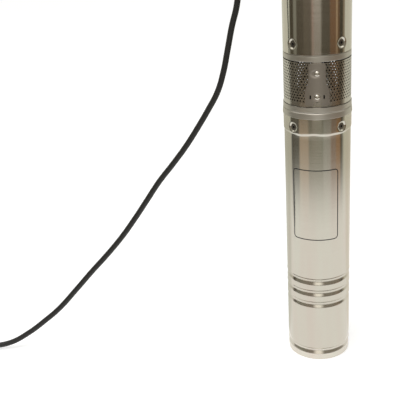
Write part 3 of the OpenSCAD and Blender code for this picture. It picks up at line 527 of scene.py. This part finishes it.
def dimpleRows(spec, r, z):
    # close rows of points, so that the wall can give way round the screws
    count = int(2 * spec["half"] / spec["row"])
    return [(r, z - spec["half"] + i * spec["row"]) for i in range(count + 1)]


def pressDimples(piece, spec, r, z):
    # pushes the wall in round each screw, falling off softly
    for degrees in tube["screwAngles"]:
        a = math.radians(degrees)
        outward = Vector((math.cos(a), math.sin(a), 0))
        centre = outward * (r * mm) + Vector((0, 0, z * mm))

        def near(co):
            offset = co - centre
            inward = offset.dot(outward)
            return abs(inward) < spec["skin"] * mm and (offset - outward * inward).length < spec["flat"] * mm

        pick(piece, near)
        softMove(outward * (-spec["depth"] * mm), spec["reach"])


def unevenStep(piece, spec):
    # the widened end was pressed out in short pulls, so its step wanders up and down
    for i, degrees in enumerate(range(0, 360, spec["every"])):
        a = math.radians(degrees)
        place = Vector((math.cos(a), math.sin(a), 0)) * (tube["bell"] * mm) + Vector((0, 0, spec["z"] * mm))
        pick(piece, lambda co: (co - place).length < spec["patch"] * mm)
        softMove((0, 0, spec["lift"] * math.sin(spec["wander"] * i) * mm), spec["reach"])


def makeTube(name, outer, r, screwHeights, node):
    inner = [(radius - tube["wall"], z) for radius, z in reversed(outer)]
    piece = blankPiece(name)
    turnProfile(outer + inner + outer[:1], tube["steps"])
    for z in screwHeights:
        pressDimples(piece, dimple, r, z)
    if name == "motorTube":
        unevenStep(piece, bellStep)
    finishPiece(piece, polishedTube, [node], 40)


motorProfile = [(37.3, 0), (37.62, 0.12), (37.88, 0.38), (38, 0.8), (38, 1.2), (38, 1.6)]
for height, deeper in tube["grooves"]:
    motorProfile += [(tube["radius"] - depth * deeper, height + rise) for depth, rise in grooveShape]
motorProfile += [(38, 140), (38, 215), (38, 288), (38, 292.9), (38.05, 293.45), (38.18, 294), (38.35, 294.5),
                 (38.52, 295), (38.65, 295.55), (38.7, 296.1)]
bellRows = dimpleRows(dimple, tube["bell"], screwAt["motor"])
motorProfile += [row for row in bellRows if row[1] > bellStep["clear"]]
motorProfile += [(38.7, 311), (38.7, 312.5), (38.7, 312.8), (38.62, 312.96), (38.4, 313)]
makeTube("motorTube", motorProfile, tube["bell"], [screwAt["motor"]], "motor_tube")

pumpProfile = [(37.9, 384), (37.97, 384.03), (38, 384.1), (38, 384.4)]
pumpProfile += dimpleRows(dimple, tube["radius"], screwAt["pump"]) + [(38, 430), (38, 470), (38, 510)]
pumpProfile += dimpleRows(dimple, tube["radius"], screwAt["head"])
pumpProfile += [(38, 549.6), (37.88, 549.88), (37.6, 550)]
makeTube("pumpTube", pumpProfile, tube["radius"], [screwAt["pump"], screwAt["head"]], "pump_tube")
print("stage: tubes")

# collar on the motor, with a rounded upper edge
castSteps = 180
collarProfile = [(7, 295.5), (17.55, 295.5), (17.55, 284.5), (23, 284.5), (23, 297.4), (37.4, 297.4),
                 (37.4, 313), (39.25, 313), (39.36, 313.05), (39.4, 313.15), (39.4, 313.4), (39.06, 318),
                 (39.03, 318.3), (38.95, 318.85), (38.78, 319.3), (38.5, 319.65), (38.1, 319.8), (13.05, 320),
                 (13.05, 315.5), (7, 315.5), (7, 295.5)]
lead = {"x": -29.4, "hole": 3.55, "middle": 440, "long": 400, "sides": 24}
pocket = {"radius": 7, "sunk": 3.8, "long": 8, "sides": 32}


def leadTool():
    # a rod where the lead passes
    tool = blankPiece("leadRoom")
    addRod(lead["sides"], lead["hole"], lead["long"], (lead["x"], 0, lead["middle"]))
    return tool


def screwRoom(spec, r, z):
    # four pockets that leave room for the tube's pressed-in wall round the screws
    tool = blankPiece("screwRoom")
    middle = r - spec["sunk"] + spec["long"] / 2
    for degrees in tube["screwAngles"]:
        a = math.radians(degrees)
        addRod(spec["sides"], spec["radius"], spec["long"], (middle * math.cos(a), middle * math.sin(a), z),
               (0, math.pi / 2, a))
    return tool


collar = blankPiece("motorCollar")
turnProfile(collarProfile, castSteps)
combine(collar, leadTool(), "DIFFERENCE")
combine(collar, screwRoom(pocket, tube["bell"], screwAt["motor"]), "DIFFERENCE")
finishPiece(collar, turnedCasting, ["motor_top_bracket"])

# intake: two bands and three pillars between them
lowBandProfile = [(14, 320.02), (38.2, 320.1), (38.55, 320.3), (38.7, 320.6), (38.7, 320.9), (38.7, 325.5),
                  (38.7, 325.8), (38.58, 326.15), (38.2, 326.3), (14, 326.6), (14, 320.02)]
highBandProfile = [(20, 377), (37.4, 377), (37.85, 377.15), (38, 377.5), (38, 377.8), (38, 382.4),
                   (38, 382.7), (37.8, 383.15), (37.2, 383.4), (36.7, 383.45), (36.7, 403.9), (20, 403.9),
                   (20, 377)]
pillar = {"angles": (30, 150, 270), "from": 29.2, "to": 37.1, "width": 10, "low": 325.6, "high": 378.6,
          "edge": 1.2}


def makePost(spec):
    post = blankPiece("pillar")
    length, height = spec["to"] - spec["from"], spec["high"] - spec["low"]
    addBlock((spec["from"] + length / 2, 0, spec["low"] + height / 2), (length, spec["width"], height))
    softenEdges(post, spec["edge"])
    return post


intake = blankPiece("intakeHousing")
turnProfile(lowBandProfile, castSteps)
turnProfile(highBandProfile, castSteps)
combine(intake, leadTool(), "DIFFERENCE")
combine(intake, screwRoom(pocket, tube["radius"], screwAt["pump"]), "DIFFERENCE")
firstPost = makePost(pillar)
for degrees in pillar["angles"]:
    combine(intake, copyPiece(firstPost, (0, 0, 0), (0, 0, degrees)), "UNION")
bpy.data.objects.remove(firstPost)
finishPiece(intake, turnedCasting, ["intake_housing"])
print("stage: collar and intake")

# clasp: a stamped plate on the strainer's front, flared foot, arch, two pressed screw seats, two slots
clasp = {"inner": 38.05, "wall": 1.2, "low": 328.6, "high": 375.4, "body": 13.2, "neck": 9.1, "bodyTop": 343,
         "flareTop": 358, "flareParts": 8, "corner": 2, "cornerParts": 4, "topCorner": 1, "edge": 0.2,
         "archHalf": 4.5, "archRise": 1, "archParts": 12, "cutAcross": 0.9, "cutUp": 0.8, "seatCuts": 8,
         "press": 0.5, "pressReach": 1.6, "slotX": 7.5, "slotZ": 338.7, "slotWide": 1.6, "slotHigh": 4.4,
         "slotDeep": 12}
claspSeats = [{"x": 0, "z": 338.7, "wide": 3.4, "high": 3.4},
              {"x": -1.6, "z": 364.6, "wide": 4.8, "high": 3.5}]

# strainer: the cell round one hole, copied up and round, rolled and given its thickness
strainer = {"radius": 38, "wall": 1.4, "low": 326.9, "high": 375.9, "columns": 62, "rows": 14,
            "firstRow": 333.2, "rowStep": 3.12, "hole": 1.95, "merge": 0.08, "margin": 0.1,
            "slotRoom": (1.3, 2.6)}


def makeStrainer(spec):
    piece = blankPiece("strainerSheet")
    turn = 2 * math.pi / spec["columns"]
    wide, high = spec["radius"] * turn * mm, spec["rowStep"] * mm
    low = spec["firstRow"] * mm
    middle = (0, -spec["radius"] * mm, low)
    upright = {"location": middle, "rotation": (math.pi / 2, 0, 0)}
    bpy.ops.mesh.primitive_grid_add(x_subdivisions=4, y_subdivisions=2, size=1, **upright)
    bpy.ops.transform.resize(value=(wide, 1, high), center_override=middle)
    pick(piece, lambda co: abs(co.x) < 0.3 * wide and abs(co.z - low) < 0.2 * high)  # the grid's inner points
    bpy.ops.mesh.delete(type="VERT")
    selectAll()
    bpy.ops.mesh.delete(type="ONLY_FACE")
    bpy.ops.mesh.primitive_circle_add(vertices=12, radius=spec["hole"] / 2 * mm, **upright)
    selectAll()
    bpy.ops.mesh.bridge_edge_loops()
    for row in range(1, spec["rows"]):  # every row half a hole further round
        pick(piece, lambda co: co.z > low + (row - 1.55) * high)  # the topmost row
        bpy.ops.mesh.duplicate_move(TRANSFORM_OT_translate={"value": (0, 0, high)})
        side = 1 if row % 2 else -1
        bpy.ops.transform.rotate(value=side * turn / 2, orient_axis="Z", center_override=(0, 0, 0))
    selectAll()
    bpy.ops.mesh.spin(steps=spec["columns"] - 1, angle=turn * (spec["columns"] - 1), dupli=True,
                      center=(0, 0, 0), axis=(0, 0, 1))
    selectAll()
    bpy.ops.mesh.remove_doubles(threshold=spec["merge"] * mm)
    lowEdge = (spec["firstRow"] - spec["rowStep"] / 2) * mm
    highEdge = lowEdge + spec["rows"] * spec["rowStep"] * mm
    for edge, there in ((lowEdge, spec["low"]), (highEdge, spec["high"])):  # the plain margins
        pick(piece, lambda co: abs(co.z - edge) < spec["margin"] * mm)
        extrudeBy((0, 0, there * mm - edge))
    roomX, roomZ = spec["slotRoom"]
    pick(piece, lambda co: co.y < 0 and abs(abs(co.x / mm) - clasp["slotX"]) < roomX
         and abs(co.z / mm - clasp["slotZ"]) < roomZ)
    bpy.ops.mesh.delete(type="VERT")  # open behind the clasp's slots
    selectAll()
    bpy.ops.mesh.delete_loose(use_faces=False)
    faceOutward()
    applyModifier(piece, "CAST", cast_type="CYLINDER", factor=1, use_z=False, use_radius_as_size=False,
                  size=spec["radius"] * mm)
    # the inside and the hole rims take the second slot, which is painted shade
    piece.data.materials.append(rolledSheet)
    piece.data.materials.append(paintedHoleShade)
    applyModifier(piece, "SOLIDIFY", thickness=spec["wall"] * mm, offset=-1, material_offset=1,
                  material_offset_rim=1)
    finishPiece(piece, None, ["strainer"], 50)


makeStrainer(strainer)
print("stage: strainer")


def claspOutline(spec):
    # right half from the arch's foot up to the neck, then the same mirrored down the left
    low, body, corner, arch = spec["low"], spec["body"], spec["corner"], spec["archHalf"]
    half = [(arch, low), (body - corner, low)]
    for i in range(1, spec["cornerParts"] + 1):
        a = i / spec["cornerParts"] * math.pi / 2
        half.append((body - corner * (1 - math.sin(a)), low + corner * (1 - math.cos(a))))
    for i in range(spec["flareParts"] + 1):
        t = i / spec["flareParts"]
        z = spec["bodyTop"] + (spec["flareTop"] - spec["bodyTop"]) * t
        half.append((body + (spec["neck"] - body) * ease(t, 0, 1), z))
    half += [(spec["neck"], spec["high"] - spec["topCorner"]),
             (spec["neck"] - spec["topCorner"], spec["high"])]
    archFoot = low + spec["archRise"]
    foot = [(-arch, archFoot)]
    for i in range(1, spec["archParts"]):
        a = math.pi - i / spec["archParts"] * math.pi
        foot.append((arch * math.cos(a), archFoot + arch * math.sin(a)))
    return half + [(-x, z) for x, z in reversed(half)] + foot + [(arch, archFoot)]


def makeClasp(spec, seats):
    piece = blankPiece("strainerClasp")
    drawPlate([Vector((x * mm, 0, z * mm)) for x, z in claspOutline(spec)])
    cuts = int(spec["body"] / spec["cutAcross"])
    for i in range(-cuts, cuts + 1):
        cutAt((i * spec["cutAcross"] * mm, 0, 0), (1, 0, 0))
    for seat in seats:
        for i in range(-spec["seatCuts"], spec["seatCuts"] + 1):
            cutAt((0, 0, (seat["z"] + i * spec["cutUp"]) * mm), (0, 0, 1))
    for seat in seats:
        pick(piece, lambda co: (co.x / mm - seat["x"]) ** 2 / seat["wide"] ** 2
             + (co.z / mm - seat["z"]) ** 2 / seat["high"] ** 2 < 1)
        softMove((0, spec["press"] * mm, 0), spec["pressReach"], True)
    selectAll()
    extrudeBy((0, -spec["wall"] * mm, 0))
    faceOutward()
    wrapRound(piece, spec["inner"])
    for side in (-1, 1):
        tool = blankPiece("slotTool")
        addBlock((side * spec["slotX"], -spec["inner"], spec["slotZ"]),
                 (spec["slotWide"], spec["slotDeep"], spec["slotHigh"]))
        combine(piece, tool, "DIFFERENCE")
    softenEdges(piece, spec["edge"], 50)
    finishPiece(piece, stampedPlate, ["strainer_clasp"], 20)


makeClasp(clasp, claspSeats)

# clasp screws: pan head with a cross recess, made once lying on the origin
panScrew = {"seat": 38.6, "heights": (338.7, 364.6), "recess": 1.4, "arm": 3.8, "depth": 1.9, "crown": 2.2,
            "taper": (0.45, 0.7, 1), "turned": 20, "steps": 40}
panProfile = [(0, 2.15), (0.8, 2.12), (1.6, 1.98), (2.3, 1.7), (2.8, 1.3), (3.1, 0.8), (3.2, 0.35),
              (3.15, 0.05), (3, 0), (2, 0), (2, -5.5), (1.7, -6), (0, -6)]


def makePanScrew(spec):
    piece = blankPiece("panScrew")
    turnProfile(panProfile, spec["steps"])
    for turn in (0, 90):
        tool = blankPiece("crossTool")
        addBlock((0, 0, spec["crown"]), (spec["arm"], spec["recess"], 2 * spec["depth"]))
        pick(tool, lambda co: co.z < spec["crown"] * mm)
        bpy.ops.transform.resize(value=spec["taper"], center_override=(0, 0, 0))
        bpy.ops.object.mode_set(mode="OBJECT")
        tool.rotation_euler.z = math.radians(turn + spec["turned"])
        combine(piece, tool, "DIFFERENCE")
    return piece


firstPan = makePanScrew(panScrew)
panCopies = [copyPiece(firstPan, (0, -panScrew["seat"], z), (90, 0, 0)) for z in panScrew["heights"]]
bpy.data.objects.remove(firstPan)
finishPiece(joinPieces(panCopies, "claspScrews"), headedScrew, ["clasp_screws"])
print("stage: clasp")

# tube screws: countersunk, hexagon socket, sunk in the dimples; made once, copied to three rings of four
sunkScrew = {"sink": 1.1, "socket": 3.1, "socketDepth": 1.2, "taper": 0.9, "edge": 0.12,
             "darkAcross": 0.58, "darkLow": -5, "darkHigh": -0.2, "steps": 48}
sunkRings = {"motorScrews": ("motor_screws", screwAt["motor"], tube["bell"]),
             "tubeScrews": ("tube_screws", screwAt["pump"], tube["radius"]),
             "headScrews": ("head_screws", screwAt["head"], tube["radius"])}
sunkProfile = [(0, 0), (3.2, 0), (3.75, -0.06), (4.05, -0.25), (4.1, -0.4), (2.5, -1.5), (2.5, -7.6),
               (2.2, -8), (0, -8)]


def makeSunkScrew(spec):
    piece = blankPiece("sunkScrew")
    turnProfile(sunkProfile, spec["steps"])
    tool = blankPiece("socketTool")
    addRod(6, hexRadius(spec["socket"]), 2 * spec["socketDepth"])
    pick(tool, lambda co: co.z < 0)
    bpy.ops.transform.resize(value=(spec["taper"], spec["taper"], 1), center_override=(0, 0, 0))
    combine(piece, tool, "DIFFERENCE")
    softenEdges(piece, spec["edge"], 50)
    piece.data.materials.append(blackedScrew)
    piece.data.materials.append(oxideSocket)
    for face in piece.data.polygons:  # the socket's inside stays dull and dark
        across = math.hypot(face.center.x, face.center.y)
        sunk = spec["darkLow"] * mm < face.center.z < spec["darkHigh"] * mm
        face.material_index = int(across < spec["socket"] * spec["darkAcross"] * mm and sunk)
    return piece


firstSunk = makeSunkScrew(sunkScrew)
for name, (node, z, r) in sunkRings.items():
    copies = []
    for degrees in tube["screwAngles"]:
        a, reach = math.radians(degrees), r - sunkScrew["sink"]
        copies.append(copyPiece(firstSunk, (reach * math.cos(a), reach * math.sin(a), z), (0, 90, degrees)))
    finishPiece(joinPieces(copies, name), None, [node], 20)
bpy.data.objects.remove(firstSunk)
print("stage: tube screws")

# discharge head: flange, boss and hexagon, threaded outlet
head = {"hexFlats": 40, "hexLow": 571.5, "hexHigh": 585, "hexEdge": 0.8, "bore": 16.6, "boreLong": 100,
        "pitch": 2.3, "crest": 15.2, "root": 16.2, "threadTop": 583.4, "threadLow": 567.4, "mouth": 584.6,
        "steps": 160}
headProfile = [(22.05, 524), (36.4, 524), (36.7, 524.4), (36.7, 549.98), (37.8, 550), (38, 550.25),
               (38, 556.2), (37.8, 557), (37.2, 557.7), (36.4, 558), (22, 558), (21, 558.25), (20.3, 558.9),
               (20, 560), (20, 572), (19.6, 584.6)]
headBore = [(15.15, 567), (17.5, 567), (17.5, 527), (22.05, 527)]


def threadPoints(spec):
    points, z = [(spec["bore"], spec["mouth"])], spec["threadTop"]
    while z > spec["threadLow"] + spec["pitch"]:
        points += [(spec["crest"], z), (spec["root"], z - spec["pitch"] / 2)]
        z -= spec["pitch"]
    return points


def makeHead(spec):
    piece = blankPiece("dischargeHead")
    turnProfile(headProfile + threadPoints(spec) + headBore + headProfile[:1], spec["steps"])
    nut = blankPiece("hexagon")
    middle = (0, 0, (spec["hexLow"] + spec["hexHigh"]) / 2)
    addRod(6, hexRadius(spec["hexFlats"]), spec["hexHigh"] - spec["hexLow"], middle)
    softenEdges(nut, spec["hexEdge"])
    bore = blankPiece("bore")
    addRod(spec["steps"], spec["bore"], spec["boreLong"], middle)
    combine(nut, bore, "DIFFERENCE")
    combine(piece, nut, "UNION")
    combine(piece, leadTool(), "DIFFERENCE")
    combine(piece, screwRoom(pocket, tube["radius"], screwAt["head"]), "DIFFERENCE")
    finishPiece(piece, turnedCasting, ["discharge_head"], 20)


makeHead(head)

# lifting lugs: rounded plates with an eye, welded to the flange
lug = {"apart": 29.4, "thick": 4, "wide": 18, "low": 558, "foot": 1, "footRise": 1.2, "eyeZ": 571, "eye": 9,
       "eyeLong": 20, "eyeSides": 36, "arcParts": 24, "edge": 0.6}


def makeLug(spec):
    piece = blankPiece("lug")
    half, low, parts = spec["wide"] / 2, spec["low"], spec["arcParts"]
    points = [(half + spec["foot"], low), (half, low + spec["footRise"])]
    for i in range(parts + 1):
        a = i * math.pi / parts
        points.append((half * math.cos(a), spec["eyeZ"] + half * math.sin(a)))
    points += [(-half, low + spec["footRise"]), (-half - spec["foot"], low)]
    drawPlate([Vector((x * mm, -spec["thick"] / 2 * mm, z * mm)) for x, z in points])
    extrudeBy((0, spec["thick"] * mm, 0))
    faceOutward()
    eye = blankPiece("eye")
    addRod(spec["eyeSides"], spec["eye"] / 2, spec["eyeLong"], (0, 0, spec["eyeZ"]), (math.pi / 2, 0, 0))
    combine(piece, eye, "DIFFERENCE")
    softenEdges(piece, spec["edge"], 50)
    return piece


firstLug = makeLug(lug)
lugCopies = [copyPiece(firstLug, (0, side * lug["apart"], 0), (0, 0, 0)) for side in (-1, 1)]
bpy.data.objects.remove(firstLug)
finishPiece(joinPieces(lugCopies, "liftingLugs"), turnedCasting, ["lifting_lugs"], 20)
print("stage: head and lugs")

# cable gland: hexagon base, domed nut with grip flutes, ribbed strain relief
gland = {"flats": 13, "low": 558, "top": 564, "edge": 0.5}
grip = {"flutes": 12, "radius": 0.9, "out": 7, "long": 6, "z": 568, "sides": 12, "steps": 72}
nutProfile = [(3.6, 564.02), (6.2, 564.02), (6.5, 564.4), (6.5, 571.4), (6.35, 572), (5.9, 573.3),
              (5.4, 574.8), (5.1, 575.7), (4.8, 576), (3.6, 576), (3.6, 564.02)]
# a rib is drawn by how far it stands in from the taper and how far up its own length
boot = {"bore": 3.55, "foot": 4.95, "low": 576, "high": 600, "gap": 0.02, "wide": 5, "taper": 0.95,
        "tip": 3.8, "tipEdge": 0.1, "ribs": 7, "ribsLow": 576.6, "ribsLong": 23,
        "ribShape": ((0.4, 0), (0, 0.3), (0.02, 0.6), (0.42, 0.8)), "steps": 48}


def bootProfile(spec):
    # tapers from the nut to the sheath, with raised rings
    start = (spec["bore"], spec["low"] + spec["gap"])
    points = [start, (spec["foot"], start[1])]
    rib = spec["ribsLong"] / spec["ribs"]
    for i in range(spec["ribs"]):
        z = spec["ribsLow"] + i * rib
        r = spec["wide"] - spec["taper"] * (z - spec["low"]) / (spec["high"] - spec["low"])
        points += [(r - inset, z + share * rib) for inset, share in spec["ribShape"]]
    return points + [(spec["tip"], spec["high"] - spec["tipEdge"]), (spec["bore"], spec["high"]), start]


glandBase = blankPiece("glandBase")
addRod(6, hexRadius(gland["flats"]), gland["top"] - gland["low"],
       (lead["x"], 0, (gland["top"] + gland["low"]) / 2))
softenEdges(glandBase, gland["edge"])
combine(glandBase, leadTool(), "DIFFERENCE")
finishPiece(glandBase, slotFinish["gland_plastic"], ["cable_gland"], 20)

glandNut = blankPiece("glandNut")
turnProfile(nutProfile, grip["steps"], lead["x"])
for i in range(grip["flutes"]):
    a = 2 * math.pi * i / grip["flutes"]
    flute = blankPiece("flute")
    addRod(grip["sides"], grip["radius"], grip["long"],
           (lead["x"] + grip["out"] * math.cos(a), grip["out"] * math.sin(a), grip["z"]))
    combine(glandNut, flute, "DIFFERENCE")
finishPiece(glandNut, slotFinish["gland_plastic"], ["gland_nut"])

strainRelief = blankPiece("strainRelief")
turnProfile(bootProfile(boot), boot["steps"], lead["x"])
finishPiece(strainRelief, slotFinish["seal_rubber"], ["strain_relief"])
print("stage: gland")

# valve spring: coiled wire between poppet and guide
spring = {"across": 12, "wire": 1.2, "turns": 4, "perTurn": 16, "lift": 6}


def springPoints(spec, low, high):
    count = spec["turns"] * spec["perTurn"]
    points = []
    for i in range(count + 1):
        a = 2 * math.pi * i / spec["perTurn"]
        z = low + spec["wire"] / 2 + (high - low - spec["wire"]) * i / count
        points.append((spec["across"] / 2 * math.cos(a), spec["across"] / 2 * math.sin(a), z))
    return points


springLow, springHigh = (corner[2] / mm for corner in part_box("valve_spring"))
valveSpring = meshTube("valveSpring", springPoints(spring, springLow, springHigh), spring["wire"],
                       slotFinish["steel"])
finishPiece(valveSpring, None, ["valve_spring"], 60)
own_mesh(valveSpring)
print("stage: valve spring", round(springHigh - springLow, 2))

# plain printed border on the motor tube, nothing inside it
border = {"radius": 38.03, "low": 164.8, "high": 252.9, "left": -47, "right": 37.5, "corner": 4.5,
          "cornerParts": 6, "line": 1.15, "cut": 0.8, "ink": 0.03}


def makeBorder(spec):
    piece = blankPiece("printedBorder")
    left, right = (math.radians(spec[side]) * spec["radius"] for side in ("left", "right"))
    wide, high = right - left, spec["high"] - spec["low"]
    addFrame((left + wide / 2, 0, spec["low"] + high / 2), wide, high, spec)
    for i in range(1, int(wide / spec["cut"])):
        cutAt(((left + i * spec["cut"]) * mm, 0, 0), (1, 0, 0))
    selectAll()
    extrudeBy((0, -spec["ink"] * mm, 0))
    faceOutward()
    wrapRound(piece, spec["radius"])
    finishPiece(piece, printedInk, [], 30)


makeBorder(border)
print("stage: border")

# pale floor, and a white backdrop all round that only the camera sees
studio = {"floorSize": 14, "floorZ": -0.0004, "backdrop": [(6500, -1), (6500, 7000)], "steps": 96,
          "paint": "#d8d8d8", "glow": 0.62}


def stagePaint(name, spec):
    # matt paint with some light of its own, so that the floor stays white
    return newMaterial(name, Roughness=0.9, Specular_IOR_Level=0.1, Base_Color=linear(spec["paint"]),
                       Emission_Color=linear("#ffffff"), Emission_Strength=spec["glow"])[0]


def makeCard(name, profile, material):
    piece = blankPiece(name)
    turnProfile(profile, studio["steps"])
    bpy.ops.object.mode_set(mode="OBJECT")
    piece.data.materials.append(material)
    piece.visible_diffuse = piece.visible_shadow = piece.visible_transmission = False
    return piece


clearSelection()
bpy.ops.mesh.primitive_plane_add(size=studio["floorSize"], location=(0, 0, studio["floorZ"]))
floor = bpy.context.object
floor.name = "floor"
floor.data.materials.append(stagePaint("floor_paint_matt", studio))
makeCard("backdrop", studio["backdrop"], stagePaint("backdrop_paint_matt", studio)).visible_glossy = False

# the room as the steel sees it: floor rings, pale near the pump and darker further off, wall and ceiling
roomGlow = 1.3
roomTones = {"pale": "#c2c2b5", "straw": "#b9b5a5", "soft": "#7f796f", "blush": "#8b776b", "mid": "#7f7d72",
             "dim": "#5d574b", "deep": "#4c453a", "dark": "#3f392d", "warm": "#73553c", "umber": "#644b34",
             "sand": "#a58d70", "taupe": "#827664", "slate": "#4d4a41", "oat": "#a59682", "olive": "#7d7a6c",
             "ash": "#96948a", "rose": "#827161", "amber": "#8b6a48", "bright": "#f4f0e8", "mist": "#aeada0",
             "white": "#e4e3e0", "haze": "#c8c8c0", "cream": "#d6d1c8"}
# line: radius and height in mm; tones: from which direction on, in degrees; soft: degrees left for blending
roomCards = {
    "roomFoot": {"line": [(60, 0.5), (420, 0.5)], "soft": 8,
                 "tones": [(-180, "haze"), (-112, "white"), (116, "cream")]},
    "roomNear": {"line": [(420, 0.5), (1060, 0.5)], "soft": 3, "fade": (430, 780),
                 "tones": [(-180, "mist"), (-100, "slate"), (-64, "oat"), (-30, "olive"), (19, "ash"),
                           (46, "rose"), (65, "amber"), (84, "dark"), (91, "mid"), (98, "straw")]},
    "roomWaist": {"line": [(1060, 0.5), (1660, 0.5)], "soft": 2,
                  "tones": [(-180, "pale"), (-101, "dim"), (-70, "dark"), (-17, "soft"), (14, "dark"),
                            (94, "taupe"), (103, "pale")]},
    "roomFar": {"line": [(1660, 0.5), (4500, 0.5)], "soft": 2,
                "tones": [(-180, "pale"), (-101, "dark"), (-83, "mid"), (-70, "deep"), (-44, "dim"),
                          (-17, "blush"), (-10, "soft"), (14, "deep"), (43, "warm"), (65, "sand"),
                          (71, "umber"), (79, "dark"), (94, "taupe"), (103, "pale")]},
    "roomWall": {"line": [(4500, 0.6), (4500, 2300)], "soft": 7,
                 "tones": [(-180, "pale"), (-125, "mist"), (-108, "soft"), (-92, "mid"), (-50, "soft"),
                           (-14, "bright"), (14, "soft"), (108, "mist"), (125, "pale")]},
    "roomCeiling": {"line": [(0, 2600), (4500, 2301)], "soft": 8,
                    "tones": [(-180, "mid"), (-115, "bright"), (-70, "mid"), (-36, "bright"), (36, "mid"),
                              (70, "bright"), (115, "mid")]}}


def toneRing(material, place, spec):
    # tones by direction round the pump
    turned = addNode(material, "ShaderNodeMapping", {"Vector": place, "Rotation": (0, 0, math.radians(90))})
    around = addNode(material, "ShaderNodeTexGradient", {"Vector": turned.outputs[0]}, gradient_type="RADIAL")
    ramp = addNode(material, "ShaderNodeValToRGB", {"Fac": around.outputs["Fac"]})
    ends = [start for start, tone in spec["tones"][1:]] + [180]
    stops = []
    for (start, tone), end in zip(spec["tones"], ends):
        stops += [((start + 180 + spec["soft"]) / 360, tone), ((end + 180 - spec["soft"]) / 360, tone)]
    while len(ramp.color_ramp.elements) < len(stops):
        ramp.color_ramp.elements.new(0.5)
    for element, (position, tone) in zip(ramp.color_ramp.elements, stops):
        element.position = position
        element.color = linear(roomTones[tone])
    return ramp.outputs[0]


def roomPaint(name, spec):
    # a card with a fade starts in the floor's own tones
    material = newMaterial(name)[0]
    nodes = material.node_tree.nodes
    nodes.remove(nodes["Principled BSDF"])
    place = addNode(material, "ShaderNodeTexCoord", {}).outputs["Object"]
    colour = toneRing(material, place, spec)
    if "fade" in spec:
        floorTone = toneRing(material, place, roomCards["roomFoot"])
        reach = addNode(material, "ShaderNodeVectorMath", {0: place}, operation="LENGTH")
        fade = addNode(material, "ShaderNodeMapRange",
                       {"Value": reach.outputs["Value"], "From Min": spec["fade"][0] * mm,
                        "From Max": spec["fade"][1] * mm}, interpolation_type="SMOOTHSTEP")
        colour = addNode(material, "ShaderNodeMix", {0: fade.outputs[0], 6: floorTone, 7: colour},
                         data_type="RGBA").outputs[2]
    glow = addNode(material, "ShaderNodeEmission", {"Color": colour, "Strength": roomGlow})
    material.node_tree.links.new(glow.outputs[0], nodes["Material Output"].inputs[0])
    return material


for name, spec in roomCards.items():  # seen only in reflections
    makeCard(name, spec["line"], roomPaint(name + "_paint", spec)).visible_camera = False

# soft light from above and all round
light = {"place": (-0.5, -0.6, 2.4), "tilt": (12, -10, 0), "power": 24, "size": 1.6, "sky": "#f4f3ef",
         "skyPower": 0.55}
world = bpy.data.worlds.new("studio")
bpy.context.scene.world = world
world.use_nodes = True
sky = world.node_tree.nodes["Background"]
sky.inputs["Color"].default_value = linear(light["sky"])
sky.inputs["Strength"].default_value = light["skyPower"]
bpy.ops.object.light_add(type="AREA", location=light["place"])
topLight = bpy.context.object
topLight.data.energy, topLight.data.size = light["power"], light["size"]
topLight.rotation_euler = [math.radians(v) for v in light["tilt"]]
print("stage: floor and light")
